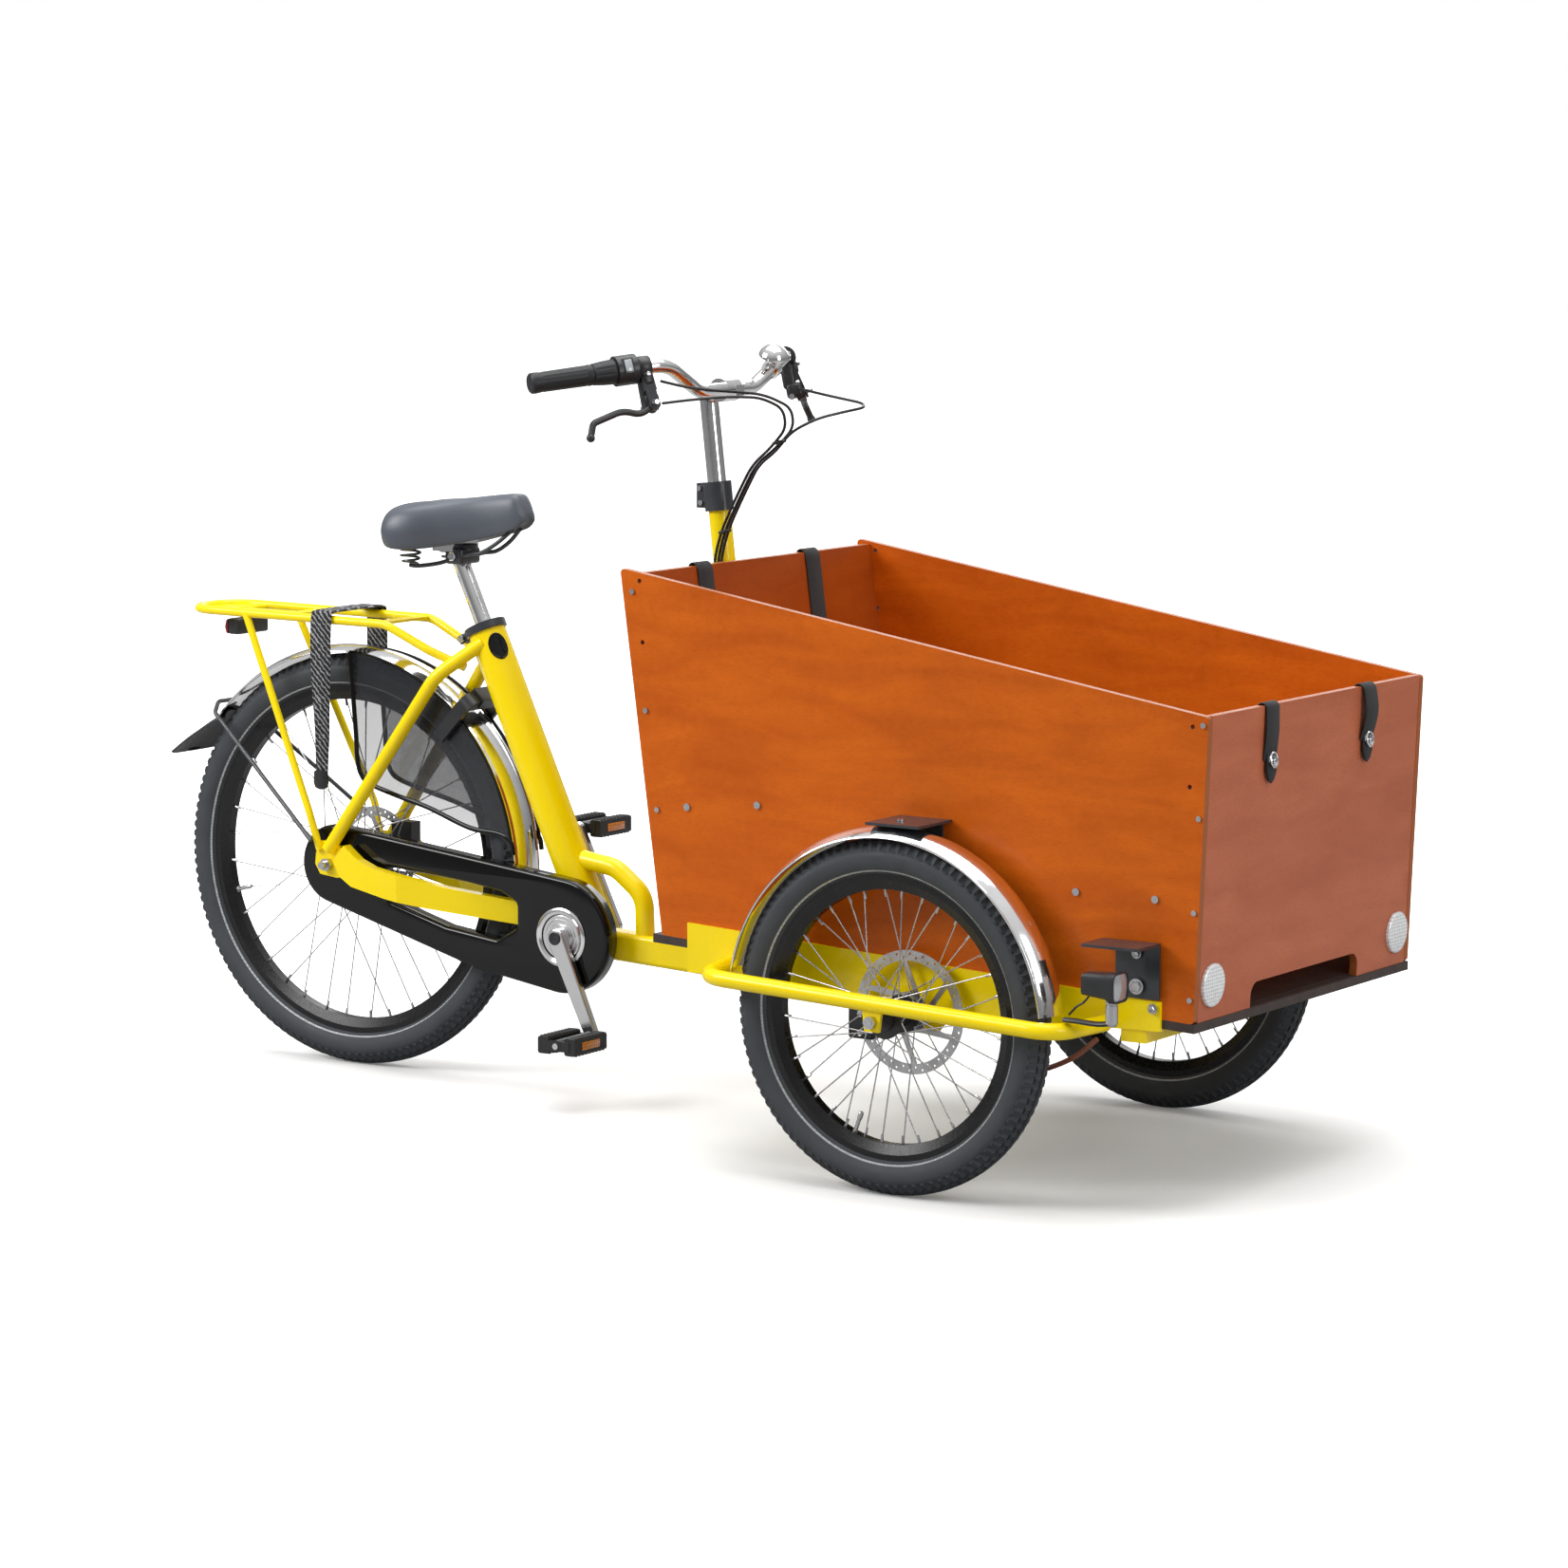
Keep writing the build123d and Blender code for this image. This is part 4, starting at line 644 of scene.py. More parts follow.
def make_shifter():
    """Twist sleeve with ribs, and the housing's indicator window."""
    profile = [(0, 11.2, 0), (0, 18.6, 0), (2, 19, 0), (5, 19, 1), (20, 18, 1), (33, 16.6, 1), (35, 16.4, 0),
               (36, 15.4, 0), (36, 11.2, 0)]
    rings = sleeve(*bar_point(-1, 133), profile, 72, -0.7, 6)
    obj = piece("shifter_sleeve", loft(rings, loop=True), "rubber", "twist_shifter", sharp=30)
    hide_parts("twist_shifter")
    middle, out = bar_point(-1, 149)
    outward = square_to((0.62, -0.55, 0.30), out)
    across = out.cross(outward).normalized()
    window = block(middle + outward * 0.0225, (12, 19, 4), (out, across, outward), 1.5)
    piece("gear_window", window, "window", "steering_bar")
    rim = block(middle + outward * 0.0215, (18, 25, 4), (out, across, outward), 1.8)
    piece("gear_window_rim", rim, "plastic", "steering_bar")


def make_lever_housings():
    """Moulded brake lever bodies over the clamps, with a pinch bolt, a lever pin and a cable adjuster."""
    for side, name in SIDES:
        mid, out = bar_point(side, 179)
        away = square_to((0.355, -side * 0.229, -0.90), out)
        front = out.cross(away).normalized()
        if front.x < 0:
            front = -front
        band = lathe(mid - out * 0.0095, out, [(0, 11.2), (0, 16.8), (1, 17.6), (18, 17.6), (19, 16.8),
                                               (19, 11.2)], 32)
        neck = block(mid + away * 0.029, (40, 20.5, 21), (away, front, out), 5, 3)
        knuckle = block(mid + away * 0.053 + front * 0.006, (24, 26, 24), (away, front, out), 6, 3)
        cap = block(mid + away * 0.018 + front * 0.009, (20, 18, 17), (away, front, out), 5, 3)
        piece(f"lever_body_{name}", join([band, neck, knuckle, cap]), "plastic", "steering_bar", sharp=50)
        pin = lathe(mid + away * 0.062 - out * 0.0135, out, [(0, 2), (0, 4.2), (27, 4.2), (27, 2)], 18)
        bolt = lathe(mid + away * 0.012 + front * 0.017, front, [(0, 3.6), (4, 3.6), (4.6, 3), (3, 1.6)], 16)
        barrel = lathe(mid + away * 0.056 + front * 0.018, front,
                       [(0, 4.5), (3, 5.2), (8, 5.2), (10, 3.8), (16, 3.4)], 18)
        piece(f"lever_metal_{name}", join([pin, bolt, barrel]), "steel", "steering_bar")


# ---- straps
STRAP_THICK = 0.0019
BINDER_THICK = 0.0036
FRONT_PANEL = ((1724.0, 281.0), (1742.0, 711.5))
REAR_PANEL = ((828.2, 327.3), (753.3, 868.7))


def strap_strip(line, width):
    """Flat webbing along a line, its width across the trike."""
    w = Vector((0, width / 2000, 0))
    rings = []
    for i, p in enumerate(line):
        run = (line[min(i + 1, len(line) - 1)] - line[max(i - 1, 0)]).normalized()
        n = run.cross(w).normalized() * STRAP_THICK / 2
        rings.append([p - w + n * 0.4, p - w * 0.94 + n, p + w * 0.94 + n, p + w + n * 0.4,
                      p + w - n * 0.4, p + w * 0.94 - n, p - w * 0.94 - n, p - w - n * 0.4])
    return loft(rings)


def panel_x(z, low, high):
    """x on the line through two (x, z) points."""
    return low[0] + (high[0] - low[0]) * (z - low[1]) / (high[1] - low[1])


def over_panel(y, top, ends, inner, outer, reach_in, reach_out, slack):
    """Line of a strap over a panel's top edge, from inside to outside; slack lifts it off the outer face."""
    back = -1 if inner > outer else 1
    edge = panel_x(top, *ends)
    inside = [(panel_x(top - d, *ends) + inner - back * 1.4, y, top - d)
              for d in (reach_in, reach_in * 0.6, 22)]
    crest = [(edge + inner - back * 1.2, y, top - 4), (edge + (inner + outer) / 2, y, top + 3.4)]
    outside = [(panel_x(top - d, *ends) + outer + back * (1.4 + lift * slack), y, top - d)
               for d, lift in ((1, 0.2), (16, 0.7), (36, 1.0), (56, 0.7), (reach_out, 0.1))]
    return curve_points(inside + crest + outside, 6)


def make_straps():
    """Two straps over the front panel, each with a hook and a pointed end, and two over the rear panel."""
    for side, name, slack in ((-1, "right", 3.0), (1, "left", 9.0)):
        y = 148 * side
        line = over_panel(y, 712.5, FRONT_PANEL, -12.5, 0, 100, 78, slack)
        obj = piece(f"front_strap_{name}", strap_strip(line, 38), "webbing", "chassis")
        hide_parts("box_straps")
        x = panel_x(632, *FRONT_PANEL)
        tip = [(x + 2.4, -11, 652), (x + 4.2, -14, 640), (x + 4.4, -14, 618), (x + 4.0, -8, 606),
               (x + 3.8, 0, 601), (x + 4.0, 8, 606), (x + 4.4, 14, 618), (x + 4.2, 14, 640),
               (x + 2.4, 11, 652)]
        tab = slab([at(px, y + py, pz) for px, py, pz in tip], 0.0036, (1, 0, -0.04), 0.0009)
        piece(f"front_strap_end_{name}", tab, "rubber", "chassis")
        hook = [(x + 6.5, y - 7, 640), (x + 9.5, y - 8, 630), (x + 9.5, y + 1, 624), (x + 9.5, y + 9, 631),
                (x + 9.0, y + 7, 641), (x + 7.5, y, 645), (x + 6.5, y - 7, 640)]
        stud = lathe(at(x + 5.4, y + 1, 632), (1, 0, 0), [(0, 4.2), (4, 4.2), (5, 6), (7, 6.2), (8.2, 3)], 20)
        hook = join([tube(curve_points(hook, 5), 1.6, 10), stud])
        piece(f"front_strap_hook_{name}", hook, "chrome", "chassis")
        line = over_panel(y, 861.7, REAR_PANEL, 24.5, 11.5, 118, 48, 0.0)
        obj = piece(f"rear_strap_{name}", strap_strip(line, 40), "webbing", "chassis")
        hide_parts("box_straps")


def make_binder():
    """Elastic binder over the carrier, narrowing to a hook by the wheel."""
    x, w = -13, 71
    top = [(x, -w + 4, 740.4), (x, -40, 741.6), (x, 0, 741.8), (x, 40, 741.6), (x, w - 4, 740.4)]
    right = [(x, -w - 1.2, 733), (x - 1, -w - 2.6, 690), (x - 1, -w - 2.8, 640), (x, -w - 2.6, 590),
             (x + 1, -w - 2.4, 540), (x, -w - 2.4, 500), (x, -w - 2.4, 482)]
    left = [(x, w + 1.2, 733), (x, w + 2.4, 700), (x, w + 2.4, 655)]
    pts = curve_points(right[::-1] + top + left, 5)
    rings = []
    for i, p in enumerate(pts):
        run = (pts[min(i + 1, len(pts) - 1)] - pts[max(i - 1, 0)]).normalized()
        n = run.cross(Vector((1, 0, 0))).normalized() * BINDER_THICK / 2
        height = max(0.0, min(1.0, (p.z - 0.478) / 0.20)) if p.y < 0 else 1.0
        half = Vector((0.0120 + 0.0090 * height, 0, 0))
        seam = Vector((0.002, 0, 0))
        rings.append([p - half, p - half * 0.9 + n, p - seam + n * 1.15, p + n * 0.7, p + seam + n * 1.15,
                      p + half * 0.9 + n, p + half, p + half * 0.9 - n, p - half * 0.9 - n])
    obj = piece("binder_band", loft(rings), "binder", "rear_frame", 60)
    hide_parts("carrier_strap")
    hook = lathe(at(x, -w - 5.5, 486), (0, 0, -1), [(0, 6), (1, 12.5), (10, 14), (20, 14.5), (28, 11.5),
                                                    (31, 5)], 24)
    side = (-w - 4.5) / 1000
    squeezed = [Vector((v.x, side + (v.y - side) * 0.55, v.z)) for v in hook[0]]
    piece("binder_hook", (squeezed, hook[1]), "plastic", "rear_frame")


# ---- lamps and reflectors
def make_headlamps():
    """Front lamps: hooded housing, faceted clear lens, post, arm and wire."""
    for side, name in SIDES:
        y, z, x = 430 * side, 342, 1640
        shell = [(-32, 12, -10, 14), (-30, 17, -14, 17), (-10, 19, -16, 18), (8, 19.5, -18, 19),
                 (14, 21.5, -22, 20.5), (24, 22, -22, 21), (24, 19.6, -19.6, 18.6), (20, 19, -19, 18)]
        rings = []
        for dx, half, low, high in shell:
            ring = []
            mid, tall = (low + high) / 2, (high - low) / 2
            for a in circle(32, 0.5):
                ca, sa = math.cos(a), math.sin(a)
                k = (abs(ca) ** 5 + abs(sa) ** 5) ** (-1 / 5)
                ring.append(at(x + dx, y + half * ca * k, z + mid + tall * sa * k))
            rings.append(ring)
        obj = piece(f"headlamp_body_{name}", loft(rings), "plastic", "chassis", sharp=30)
        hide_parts("headlamps")
        grid = []
        for j in range(15):
            row = []
            for i in range(15):
                u, v = i / 7 - 1, j / 7 - 1
                facet = 0.7 * ((i % 2) + (j % 2)) / 2
                row.append(at(x + 25 - 2.1 * (u * u + v * v) + facet, y + u * 18.6, z - 0.5 + v * 18.4))
            grid.append(row)
        piece(f"headlamp_lens_{name}", loft(grid, closed=False, caps=False), "lens", "chassis",
              20)
        post = lathe(at(x + 10, y, z - 20), (0, 0, -1),
                     [(0, 8.8), (4, 9), (4.5, 7.8), (6, 7.8), (6.5, 9), (32, 9), (36, 6)], 24)
        piece(f"headlamp_post_{name}", post, "steel", "chassis")
        arm = tube(curve_points([(x + 10, y, z - 52), (x - 14, y, z - 55), (x - 44, y, z - 54),
                                 (x - 66, y, z - 54)], 5), 5.5, 12, 0.7)
        piece(f"headlamp_arm_{name}", arm, "plastic", "chassis")
        wire = tube(curve_points([(x - 24, y, z - 14), (x - 34, y + side, z - 26), (x - 46, y + side, z - 34),
                                  (x - 58, y, z - 46)], 6), 1.6, 8)
        piece(f"headlamp_wire_{name}", wire, "cable", "chassis")


def make_rear_light():
    """Slim housing under the carrier with a ribbed red lens."""
    body = block(at(-222, 0, 703), (24, 78, 26), None, 4, 3)
    obj = piece("rear_light_body", body, "plastic", "rear_frame")
    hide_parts("rear_light")
    rings = []
    for i in range(27):
        y = -39 + 3 * i
        bulge = 8.0 - 5.0 * (y / 39) ** 2 + (0.7 if i % 2 else 0)
        rings.append([at(-233, y, 691), at(-234 - bulge * 0.8, y, 692.5), at(-236 - bulge, y, 702),
                      at(-234 - bulge * 0.8, y, 712.5), at(-233, y, 715)])
    piece("rear_light_lens", loft(rings), "red_lens", "rear_frame", 30)


def pedal_reflectors():
    """Amber reflectors and grip ribs on the pedal blocks."""
    for side, name in SIDES:
        lo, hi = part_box(f"pedal_{name}")
        mid = (lo + hi) / 2
        parts, ribs = [], []
        for k in (-1, 1):
            x = mid.x + k * (hi.x - lo.x) / 2
            parts.append(block(Vector((x, mid.y, mid.z)), (2.6, 46, 12.5), None, 0.8))
            for j in range(9):
                y = mid.y - 0.036 + 0.009 * j
                for up in (-1, 1):
                    z = mid.z + up * (hi.z - lo.z) / 2
                    ribs.append(block(Vector((mid.x + k * 0.025, y, z)), (18.5, 4.2, 1.8), None, 0.6, 1))
        piece(f"pedal_reflectors_{name}", join(parts), "amber", f"pedal_{name}")
        piece(f"pedal_ribs_{name}", join(ribs), "rubber", f"pedal_{name}")


# ---- small parts
CRANK_AXIS = (453, 255)
CASE_DEPTH = 26
CASE_ROUNDS = ((2, 333, 64), (300, 276, 88), (451, 256, 91))
CASE_SLOT = ((100, 338), (185, 333), (265, 326), (334, 317), (366, 301), (366, 262), (328, 240), (228, 252),
             (116, 283))


def rounded_outline(points, radius, steps=6):
    """The points' closed polygon with each corner rounded, in the plane."""
    out = []
    n = len(points)
    for i in range(n):
        a, b, c = (Vector(points[k % n]) for k in (i - 1, i, i + 1))
        u, v = (a - b).normalized(), (c - b).normalized()
        half = max(0.05, math.acos(max(-1, min(1, u.dot(v)))) / 2)
        cut = min(radius / math.tan(half), 0.45 * (a - b).length, 0.45 * (c - b).length)
        for k in range(steps + 1):
            t = k / steps
            out.append(tuple((b + u * cut) * (1 - t) ** 2 + b * 2 * t * (1 - t) + (b + v * cut) * t ** 2))
    return out


def hull(points):
    """Convex outline of points in the plane, anticlockwise."""
    ordered = sorted(set(points))
    sides = []
    for run in (ordered, ordered[::-1]):
        chain = []
        for p in run:
            while len(chain) > 1 and ((chain[-1][0] - chain[-2][0]) * (p[1] - chain[-2][1])
                                      - (chain[-1][1] - chain[-2][1]) * (p[0] - chain[-2][0])) <= 0:
                chain.pop()
            chain.append(p)
        sides += chain[:-1]
    return sides


def make_chaincase():
    """Chain cover as a moulded shell: rounded rims round its outline, the stay slot and the crank hole."""
    dots = [(x + r * math.cos(k * math.pi / 60), z + r * math.sin(k * math.pi / 60))
            for x, z, r in CASE_ROUNDS for k in range(120)]
    hole = [(CRANK_AXIS[0] + 36 * math.cos(-k * math.pi / 32),
             CRANK_AXIS[1] + 36 * math.sin(-k * math.pi / 32)) for k in range(64)]
    soft = 7.0                 # radius of the rims
    data = bpy.data.curves.new("chaincase_outline", "CURVE")
    data.dimensions = "2D"
    data.fill_mode = "FRONT"
    data.extrude = (CASE_DEPTH - soft) / 2000
    data.bevel_depth = soft / 1000
    data.bevel_resolution = 4
    data.offset = -soft / 1000
    for points in (hull(dots), rounded_outline(CASE_SLOT, 12)[::-1], hole):
        line = data.splines.new("POLY")
        line.points.add(len(points) - 1)
        for point, (x, z) in zip(line.points, points):
            point.co = (x / 1000, z / 1000, 0, 1)
        line.use_cyclic_u = True
    shape = bpy.data.objects.new("chaincase_outline", data)
    SCENE.collection.objects.link(shape)
    bpy.context.view_layer.update()
    mesh = shape.to_mesh()
    top = max(v.co.z for v in mesh.vertices)
    verts = [at(v.co.x * 1000, -66 + (top - v.co.z) * 1000, v.co.y * 1000) for v in mesh.vertices]
    faces = [tuple(f.vertices) for f in mesh.polygons]
    shape.to_mesh_clear()
    bpy.data.objects.remove(shape)
    low = at(0, -40, 0).y
    keep = [f for f in faces if min(verts[i].y for i in f) < low - 1e-5]
    verts = [Vector((v.x, min(v.y, low), v.z)) for v in verts]
    obj = piece("chaincase_shell", (verts, keep), "gloss", "rear_frame", 40)
    modify(obj, "SOLIDIFY", thickness=0.0016, offset=-1.0)
    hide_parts("chaincase")


def make_crank_trim():
    """Bright ring round the crank hole of the chaincase, the turned cover inside it, and the crank caps."""
    x, z = CRANK_AXIS
    profile = [(0, 36.5), (0, 46), (1.2, 46.5), (2.6, 44.5), (3.2, 41), (2, 38.5), (1.2, 36.5)]
    ring = lathe(at(x, -66.2, z), (0, -1, 0), profile, 64, loop=True)
    piece("chaincase_ring", ring, "chrome", "rear_frame")
    cover = lathe(at(x, -64.5, z), (0, -1, 0), [(0, 12), (0, 34.8), (1.2, 35.2), (2.4, 33.5), (2.4, 29),
                                                (3.6, 27.5), (3.6, 22), (4.8, 20.5), (4.8, 12)], 56)
    piece("crank_cover", cover, "alloy", "crankset")
    for side, name in SIDES:
        cap = lathe(at(x, side * 83.1, z), (0, side, 0),
                    [(-1, 10.5), (1.2, 10.5), (1.8, 9.6), (1.2, 6.2), (0.5, 4)], 28)
        piece(f"crank_cap_{name}", cap, "plastic", "crankset")


def make_badge():
    """Blank oval badge on the front right of the main tube."""
    middle = tube_axis(690.0)
    rings = []
    for grow, lift in ((1.0, 0.0), (0.99, 0.9), (0.93, 1.3), (0.86, 1.3), (0.84, 1.0), (0.4, 1.0),
                       (0.02, 1.0)):
        ring = []
        for a in circle(40):
            turn = 0.52 * grow * math.cos(a) + 0.62
            d = Vector((math.cos(LEAN) * math.cos(turn), -math.sin(turn), math.sin(LEAN) * math.cos(turn)))
            ring.append(middle + UP_TUBE * (0.022 * grow * math.sin(a)) + d * (0.03 + lift / 1000))
        rings.append(ring)
    piece("frame_badge", loft(rings), "gloss", "rear_frame", 25)


def guard_beads():
    """Thick dark edge round each dress guard."""
    low = [(18, 676), (24, 600), (29, 540), (31, 505), (38, 480), (56, 465), (110, 450), (174, 435),
           (255, 409), (312, 404), (336, 392), (341, 372)]
    for side, name in SIDES:
        y = side * 38.0
        line = curve_points([(x, y, z) for x, z in low], 6)
        arc = arc_points(at(*REAR_HUB), 0.3415, y / 1000, 7, 87, 40)
        parts = [tube(line, 4.2, 12, 0.75, (0, 1, 0)), tube(arc, 2.8, 10, 1.0, (0, 1, 0))]
        piece(f"dress_guard_edge_{name}", join(parts), "gloss", "rear_frame")


def make_flap():
    """Flared rubber mud flap, dished across and lipped at its tail."""
    a = math.radians(139)
    start = at(344.5 * math.cos(a), 0, 334.5 + 344.5 * math.sin(a))
    end = at(-353, 0, 487)
    run = end - start
    up = Vector((0, 1, 0)).cross(run).normalized()
    rings = []
    for i in range(15):
        t = i / 14
        half = 0.027 + 0.034 * t ** 1.3
        p = start + run * t + up * 0.006 * math.sin(math.pi * t)
        row_top, row_low = [], []
        for j in range(13):
            u = j / 6 - 1
            sag = up * (-0.013 * u * u * (1 - 0.45 * t))
            back = run.normalized() * (-0.016 * (abs(u) ** 2.2) * t)
            spot = p + Vector((0, half * u, 0)) + sag + back
            thick = 0.0012 + (0.0008 if i == 14 or j in (0, 12) else 0)
            row_top.append(spot + up * thick)
            row_low.append(spot - up * thick)
        rings.append(row_top + row_low[::-1])
    obj = piece("mud_flap_shaped", loft(rings), "rubber", "rear_frame", sharp=50)
    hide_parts("mud_flap")


def make_front_brakes():
    """Caliper bodies with their bolts, and the brown hoses below them."""
    for side, name in SIDES:
        x, z, y = 1201.7, 236, 352 * side
        body = join([block(at(x - 4, y + side * 7.5, z), (42, 12, 46), None, 4, 3),
                     block(at(x - 4, y - side * 6.5, z), (42, 9, 46), None, 3, 3),
                     block(at(x - 17, y, z), (16, 26, 40), None, 4, 3)])
        obj = piece(f"caliper_{name}", body, "plastic", "chassis")
        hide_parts("front_brakes")
        bolts = [lathe(at(x - 4, y + side * 13.4, z + dz), (0, side, 0),
                       [(-1, 5.2), (1.2, 5.2), (1.6, 4.6), (0.6, 2.6)], 6) for dz in (-14, 14)]
        piece(f"caliper_bolts_{name}", join(bolts), "steel", "chassis")
        route = [(1583, 352, 250), (1545, 352, 220), (1490, 351, 196), (1432, 350, 186)]
        line = curve_points([(px, side * py, pz) for px, py, pz in route], 8)
        piece(f"brown_hose_{name}", tube(line, 3.9, 14), "hose", "chassis")


def cable_ties():
    """Small black ties where the cables run together."""
    for i, (x, y, z, r) in enumerate(((822, -9, 1040, 10.5), (733, -24, 901, 9.5))):
        ring = []
        for a in circle(24) + [2 * math.pi]:
            ring.append(at(x + math.cos(a) * r, y + math.sin(a) * r * 0.72, z + 0.25 * math.cos(a) * r))
        piece(f"cable_tie_{i}", tube(ring, 1.4, 8, 1.6), "plastic", "steering_bar")


def hex_heads():
    """Hexagon bolts on the right and left brackets and the front end of each rail."""
    parts = []
    for side in (-1, 1):
        for x, y, z, r in ((1640, 344.4, 376, 5.0), (1640, 344.4, 329, 7.5), (1664, 340.4, 299, 5.0)):
            parts.append(lathe(at(x, side * y, z), (0, side, 0), [(-0.5, r * 1.5), (0.8, r * 1.5)], 28))
            parts.append(lathe(at(x, side * y, z), (0, side, 0),
                               [(0, r * 1.06), (4.2, r * 1.06), (5, r * 0.92), (4.6, 1.2)], 6))
    piece("bracket_bolts", join(parts), "steel", "chassis", sharp=20)


# ---- looks
def plywood(name, faces, across, shift):
    """Varnished birch ply: soft figure and short pores on the faces, stacked layers on the cut edges."""
    m = Mat(name)
    figure = m.noise(2.6, 4.0, 0.5, m.scaled((2.2, 2.2, 9.0), shift), 0.6)
    light, dark = faces
    base = m.ramp(figure, [(0.30, dark), (0.72, light)])
    pores = m.noise(9.0, 4.0, 0.7, m.scaled((12.0, 12.0, 60.0)))
    grain = m.mix(m.range(pores, 0.0, 0.34, 0.48, 0.72), base, shade(dark, 0.58))
    mottle = m.noise(60.0, 6.0, 0.75)
    face = m.mix(m.range(mottle, 0.0, 0.22, 0.4, 0.7), grain, shade(light, 1.10))
    layers = m.texture("Wave", "Fac", {"Scale": 120.0, "Distortion": 0.8}, bands_direction=across)
    cut = m.ramp(layers, [(0.25, shade(PLY_EDGE, 0.62)), (0.6, PLY_EDGE), (0.9, shade(PLY_EDGE, 1.15))])
    normal = m.add("ShaderNodeSeparateXYZ")
    m.feed(normal.inputs["Vector"], m.add("ShaderNodeNewGeometry").outputs["Normal"])
    on_edge = m.math("LESS_THAN", m.math("ABSOLUTE", normal.outputs[across]), 0.5)
    m.colour(m.mix(on_edge, face, cut))
    m.rough(m.range(mottle, 0.30, 0.44))
    m.bump(pores, 0.10, 0.0005)
    m.bump(m.noise(320.0, 2.0), 0.05, 0.0003)
    m.set(Coat_Weight=0.06, Coat_Roughness=0.16, Specular_IOR_Level=0.18)
    return m.material


def hub_material():
    """Black anodised hub with a brushed bright disc standing off its side."""
    m = Mat("hub_and_disc")
    brushed = m.noise(14.0, 4.0, 0.6, m.scaled((30.0, 1.0, 30.0)))
    place = m.add("ShaderNodeSeparateXYZ")
    m.feed(place.inputs["Vector"], m.coords)
    offset = m.math("ABSOLUTE", place.outputs["Y"])
    front, rear = (m.math("COMPARE", m.math("SUBTRACT", offset, y), 0.0, 0.0022) for y in DISC_OFFSETS)
    disc = m.math("MAXIMUM", front, rear)
    black = m.ramp(brushed, [(0.3, (0.014, 0.014, 0.015)), (0.7, (0.026, 0.026, 0.028))])
    steel = m.ramp(brushed, [(0.3, (0.46, 0.46, 0.48)), (0.7, (0.66, 0.66, 0.68))])
    m.colour(m.mix(disc, black, steel))
    m.feed(m.shader.inputs["Metallic"], disc)
    m.rough(m.range(brushed, 0.24, 0.42))
    m.bump(brushed, 0.05, 0.0003)
    return m.material


def binder_material():
    """Elastic cords side by side, black with a light thread spiralling round each."""
    m = Mat("elastic_binder")
    thread = m.texture("Wave", "Fac", {"Scale": 62.0, "Distortion": 3.0, "Detail": 1.0, "Detail Scale": 2.5},
                       m.scaled((1.0, 0.35, 1.0)), bands_direction="DIAGONAL")
    weave = m.noise(900.0, 3.0)
    m.colour(m.ramp(thread, [(0.55, (0.008, 0.008, 0.009)), (0.72, (0.030, 0.030, 0.032)),
                             (0.9, (0.30, 0.30, 0.31))]))
    m.rough(m.range(weave, 0.7, 0.9))
    m.bump(thread, 0.6, 0.0014)
    m.bump(weave, 0.3, 0.0005)
    return m.material


def glass(name, colour, rough, alpha, metallic=0.0):
    """Clear or smoky plastic."""
    m = Mat(name)
    m.tones(m.noise(40.0, 4.0), colour, 0.86, 1.08)
    m.rough(m.range(m.noise(120.0, 3.0), rough, rough + 0.08))
    m.bump(m.noise(120.0, 2.0), 0.015, 0.0004)
    m.set(Alpha=alpha, Metallic=metallic, Coat_Weight=0.8)
    return m.material


def prism_reflector(name, colour):
    """Moulded reflector: rows of small prisms under a clear face."""
    m = Mat(name)
    prisms = m.texture("Voronoi", "Distance", {"Scale": 190.0, "Randomness": 0.15})
    m.colour(m.ramp(prisms, [(0.1, shade(colour, 1.1)), (0.7, shade(colour, 0.55))]))
    m.rough(m.range(m.noise(90.0, 3.0), 0.12, 0.24))
    m.bump(prisms, 0.6, 0.0012)
    m.set(Coat_Weight=1.0)
    return m.material


def tyre_material():
    """Dark rubber, dusty in the tread."""
    m = Mat("tyre_rubber")
    dust = m.noise(26.0, 6.0, 0.65)
    m.colour(m.ramp(dust, [(0.35, (0.034, 0.038, 0.044)), (0.62, (0.048, 0.053, 0.061)),
                           (0.8, (0.064, 0.068, 0.075))]))
    m.rough(m.range(dust, 0.55, 0.80))
    m.bump(m.noise(1300.0, 3.0), 0.25, 0.0004)
    return m.material


def saddle_cover():
    """Grained dark grey vinyl, worn to an uneven gloss."""
    m = Mat("saddle_cover")
    grain = m.texture("Voronoi", "Distance", {"Scale": 420.0}, feature="DISTANCE_TO_EDGE")
    wear = m.noise(9.0, 4.0)
    m.colour(m.ramp(wear, [(0.3, (0.066, 0.076, 0.094)), (0.7, (0.092, 0.105, 0.128))]))
    m.rough(m.range(wear, 0.34, 0.52))
    m.bump(grain, 0.35, 0.0005)
    m.set(Coat_Weight=0.2, Coat_Roughness=0.35)
    return m.material


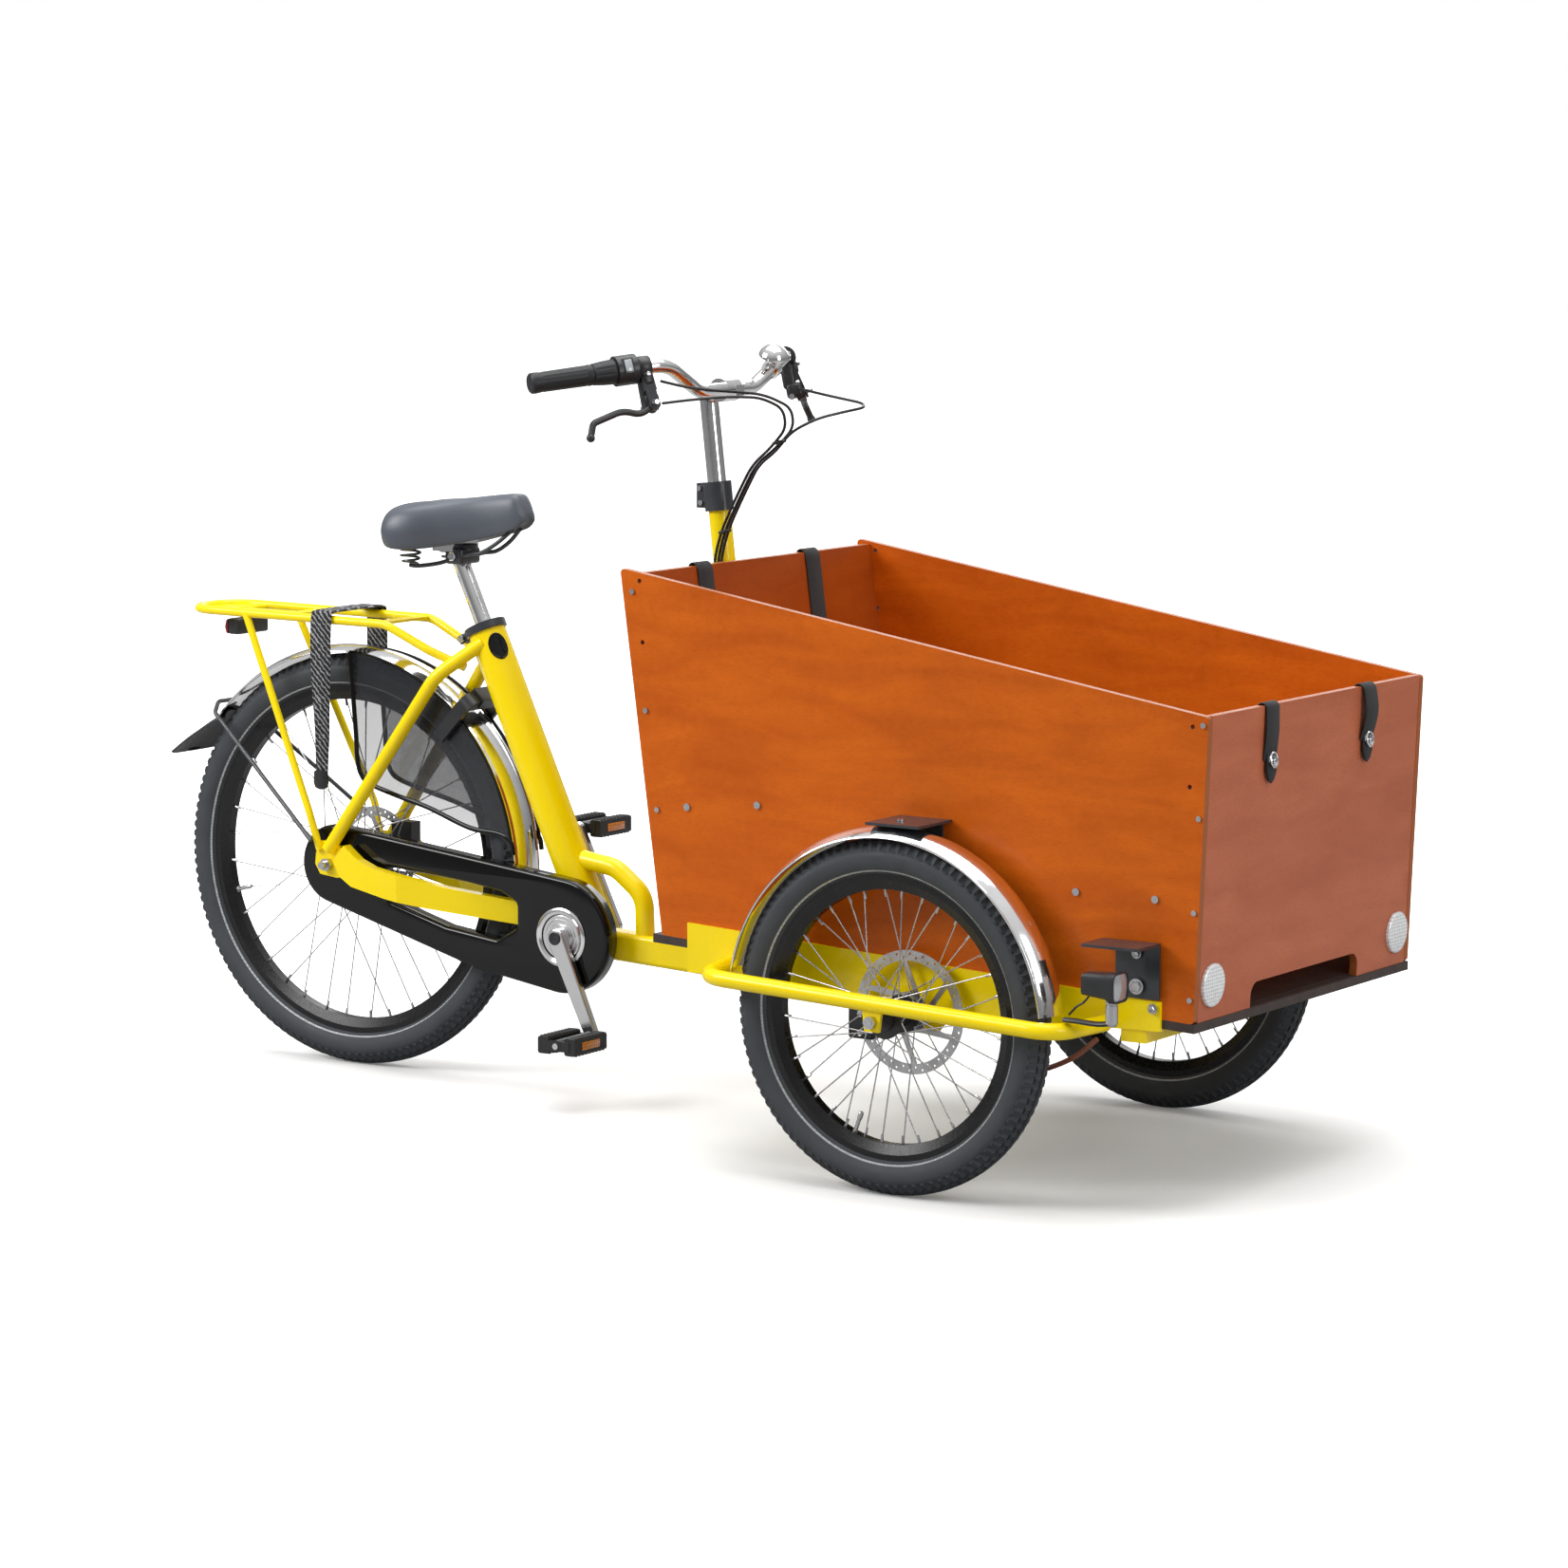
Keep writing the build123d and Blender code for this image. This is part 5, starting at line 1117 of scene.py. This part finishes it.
DISC_OFFSETS = (0.352, 0.049)  # the front and rear brake discs, from the middle plane
PLY_EDGE = (0.40, 0.115, 0.032)
PLY_SIDE = ((0.66, 0.132, 0.004), (0.50, 0.086, 0.002))
# Front panel: the same varnished ply with a painted sheen, paler and pinker as if the white surroundings
# showed in it.
PLY_FRONT_PAINTED_SHEEN = ((0.54, 0.158, 0.076), (0.44, 0.116, 0.052))
# Rear panel and benches: the same ply with painted shade, darker as inside the box.
PLY_INNER_PAINTED_SHADE = ((0.40, 0.072, 0.007), (0.31, 0.052, 0.004))
LOOKS = {
    "ply_side": plywood("ply_sides", PLY_SIDE, "Y", 0.0),
    "ply_front": plywood("ply_front", PLY_FRONT_PAINTED_SHEEN, "X", 3.7),
    "ply_rear": plywood("ply_rear", PLY_INNER_PAINTED_SHADE, "X", 7.9),
    "ply_bench": plywood("ply_benches", PLY_INNER_PAINTED_SHADE, "Z", 1.3),
    "floor_board": coated("floor_board", (0.045, 0.030, 0.025), 0.55, 0.25, 30.0, 0.2, 300.0),
    "yellow": coated("yellow_paint", (1.0, 0.755, 0.0), 0.26, 0.03, 5.0, 0.05, 260.0, 0.0, 0.25, 0.05, 0.25),
    "black": coated("black_paint", (0.030, 0.035, 0.041), 0.34, 0.2, 20.0, 0.10, 800.0, 0.0, 0.25),
    "chrome": chrome("chrome_plate", (0.93, 0.93, 0.94), 0.09),
    "steel": chrome("zinc_steel", (0.58, 0.58, 0.60), 0.26),
    "alloy": chrome("polished_alloy", (0.72, 0.72, 0.73), 0.20),
    "hub": hub_material(),
    "rim": coated("rim_black", (0.010, 0.010, 0.011), 0.26, 0.2, 30.0, 0.02, 260.0, 0.3),
    "tyre": tyre_material(),
    "reflective": prism_reflector("reflective_line", (0.52, 0.54, 0.56)),
    "rubber": coated("black_rubber", (0.020, 0.021, 0.023), 0.45, 0.15, 22.0, 0.22, 1500.0, specular=0.3),
    "cable": coated("cable_housing", (0.010, 0.010, 0.011), 0.38, 0.15, 30.0, 0.08, 1200.0),
    "plastic": coated("black_plastic", (0.018, 0.019, 0.021), 0.36, 0.2, 30.0, 0.15, 1100.0),
    "gloss": coated("gloss_black", (0.003,) * 3, 0.08, 0.2, 12.0, 0.02, 500.0, 0.0, 0.25, 0.03, 0.25),
    "smoke": glass("smoke_plastic", (0.022, 0.024, 0.030), 0.10, 0.48),
    "white_reflector": prism_reflector("white_reflector", (0.97, 0.98, 0.99)),
    "amber": prism_reflector("amber_reflector", (0.90, 0.30, 0.010)),
    "lens": glass("lamp_lens", (0.80, 0.83, 0.86), 0.06, 0.62, 0.5),
    "window": glass("gear_window", (0.42, 0.45, 0.47), 0.10, 1.0),
    "red_lens": prism_reflector("red_lens", (0.34, 0.010, 0.014)),
    "webbing": webbing_material(),
    "binder": binder_material(),
    "saddle": saddle_cover(),
    "hose": coated("brown_hose", (0.20, 0.062, 0.034), 0.42, 0.2, 30.0, 0.2, 900.0),
}
DRESS = {
    "ply_side": "box_side_right box_side_left",
    "ply_front": "box_front_panel",
    "ply_rear": "box_rear_panel",
    "ply_bench": "box_benches",
    "floor_board": "box_floor",
    "yellow": "chassis_frame steering_post wheel_guards main_frame carrier",
    "black": "side_brackets post_clamp seat_clamp fender_stays saddle_rails",
    "chrome": "front_fenders rear_fender handlebar_riser handlebar bell seat_post bell_lever",
    "steel": "chassis_fasteners rear_fasteners chain rear_sprocket front_spokes_right front_spokes_left"
             " rear_spokes",
    "alloy": "cranks",
    "hub": "front_hub_right front_hub_left rear_hub",
    "rim": "front_rim_right front_rim_left rear_rim",
    "tyre": "front_tyre_right front_tyre_left rear_tyre",
    "rubber": "grips twist_shifter mud_flap",
    "cable": "control_cables",
    "plastic": "headlamps lever_clamps brake_lever_right brake_lever_left front_brakes rear_caliper ring_lock"
               " pedal_right pedal_left",
    "gloss": "chaincase",
    "smoke": "dress_guards",
    "white_reflector": "front_reflectors",
    "red_lens": "rear_light",
    "webbing": "box_straps",
    "binder": "carrier_strap",
    "saddle": "saddle",
}
ROUNDED = {
    0.0010: "side_brackets lever_clamps",
    0.0012: "box_side_right box_side_left box_front_panel box_rear_panel ring_lock",
    0.0018: "brake_lever_right brake_lever_left",
    0.0025: "pedal_right pedal_left",
}


def dress_frame():
    """Every node of the model gets its material, and the larger plain ones softened edges."""
    for look, nodes in DRESS.items():
        for node in nodes.split():
            mesh = NODES[node].data
            mesh.materials.clear()
            mesh.materials.append(LOOKS[look])
    for width, nodes in ROUNDED.items():
        for node in nodes.split():
            modify(NODES[node], "BEVEL", width=width, segments=3, limit_method="ANGLE",
                   angle_limit=math.radians(40))


for make in (make_camera, make_studio, dress_frame, make_wheels, fender_beads, make_saddle,
             make_saddle_springs, make_seat_clamp, make_grips, make_shifter, make_lever_housings, make_straps,
             make_binder, make_headlamps, make_rear_light, pedal_reflectors, make_chaincase, make_crank_trim,
             make_badge, guard_beads, make_flap, make_front_brakes, cable_ties, hex_heads):
    make()
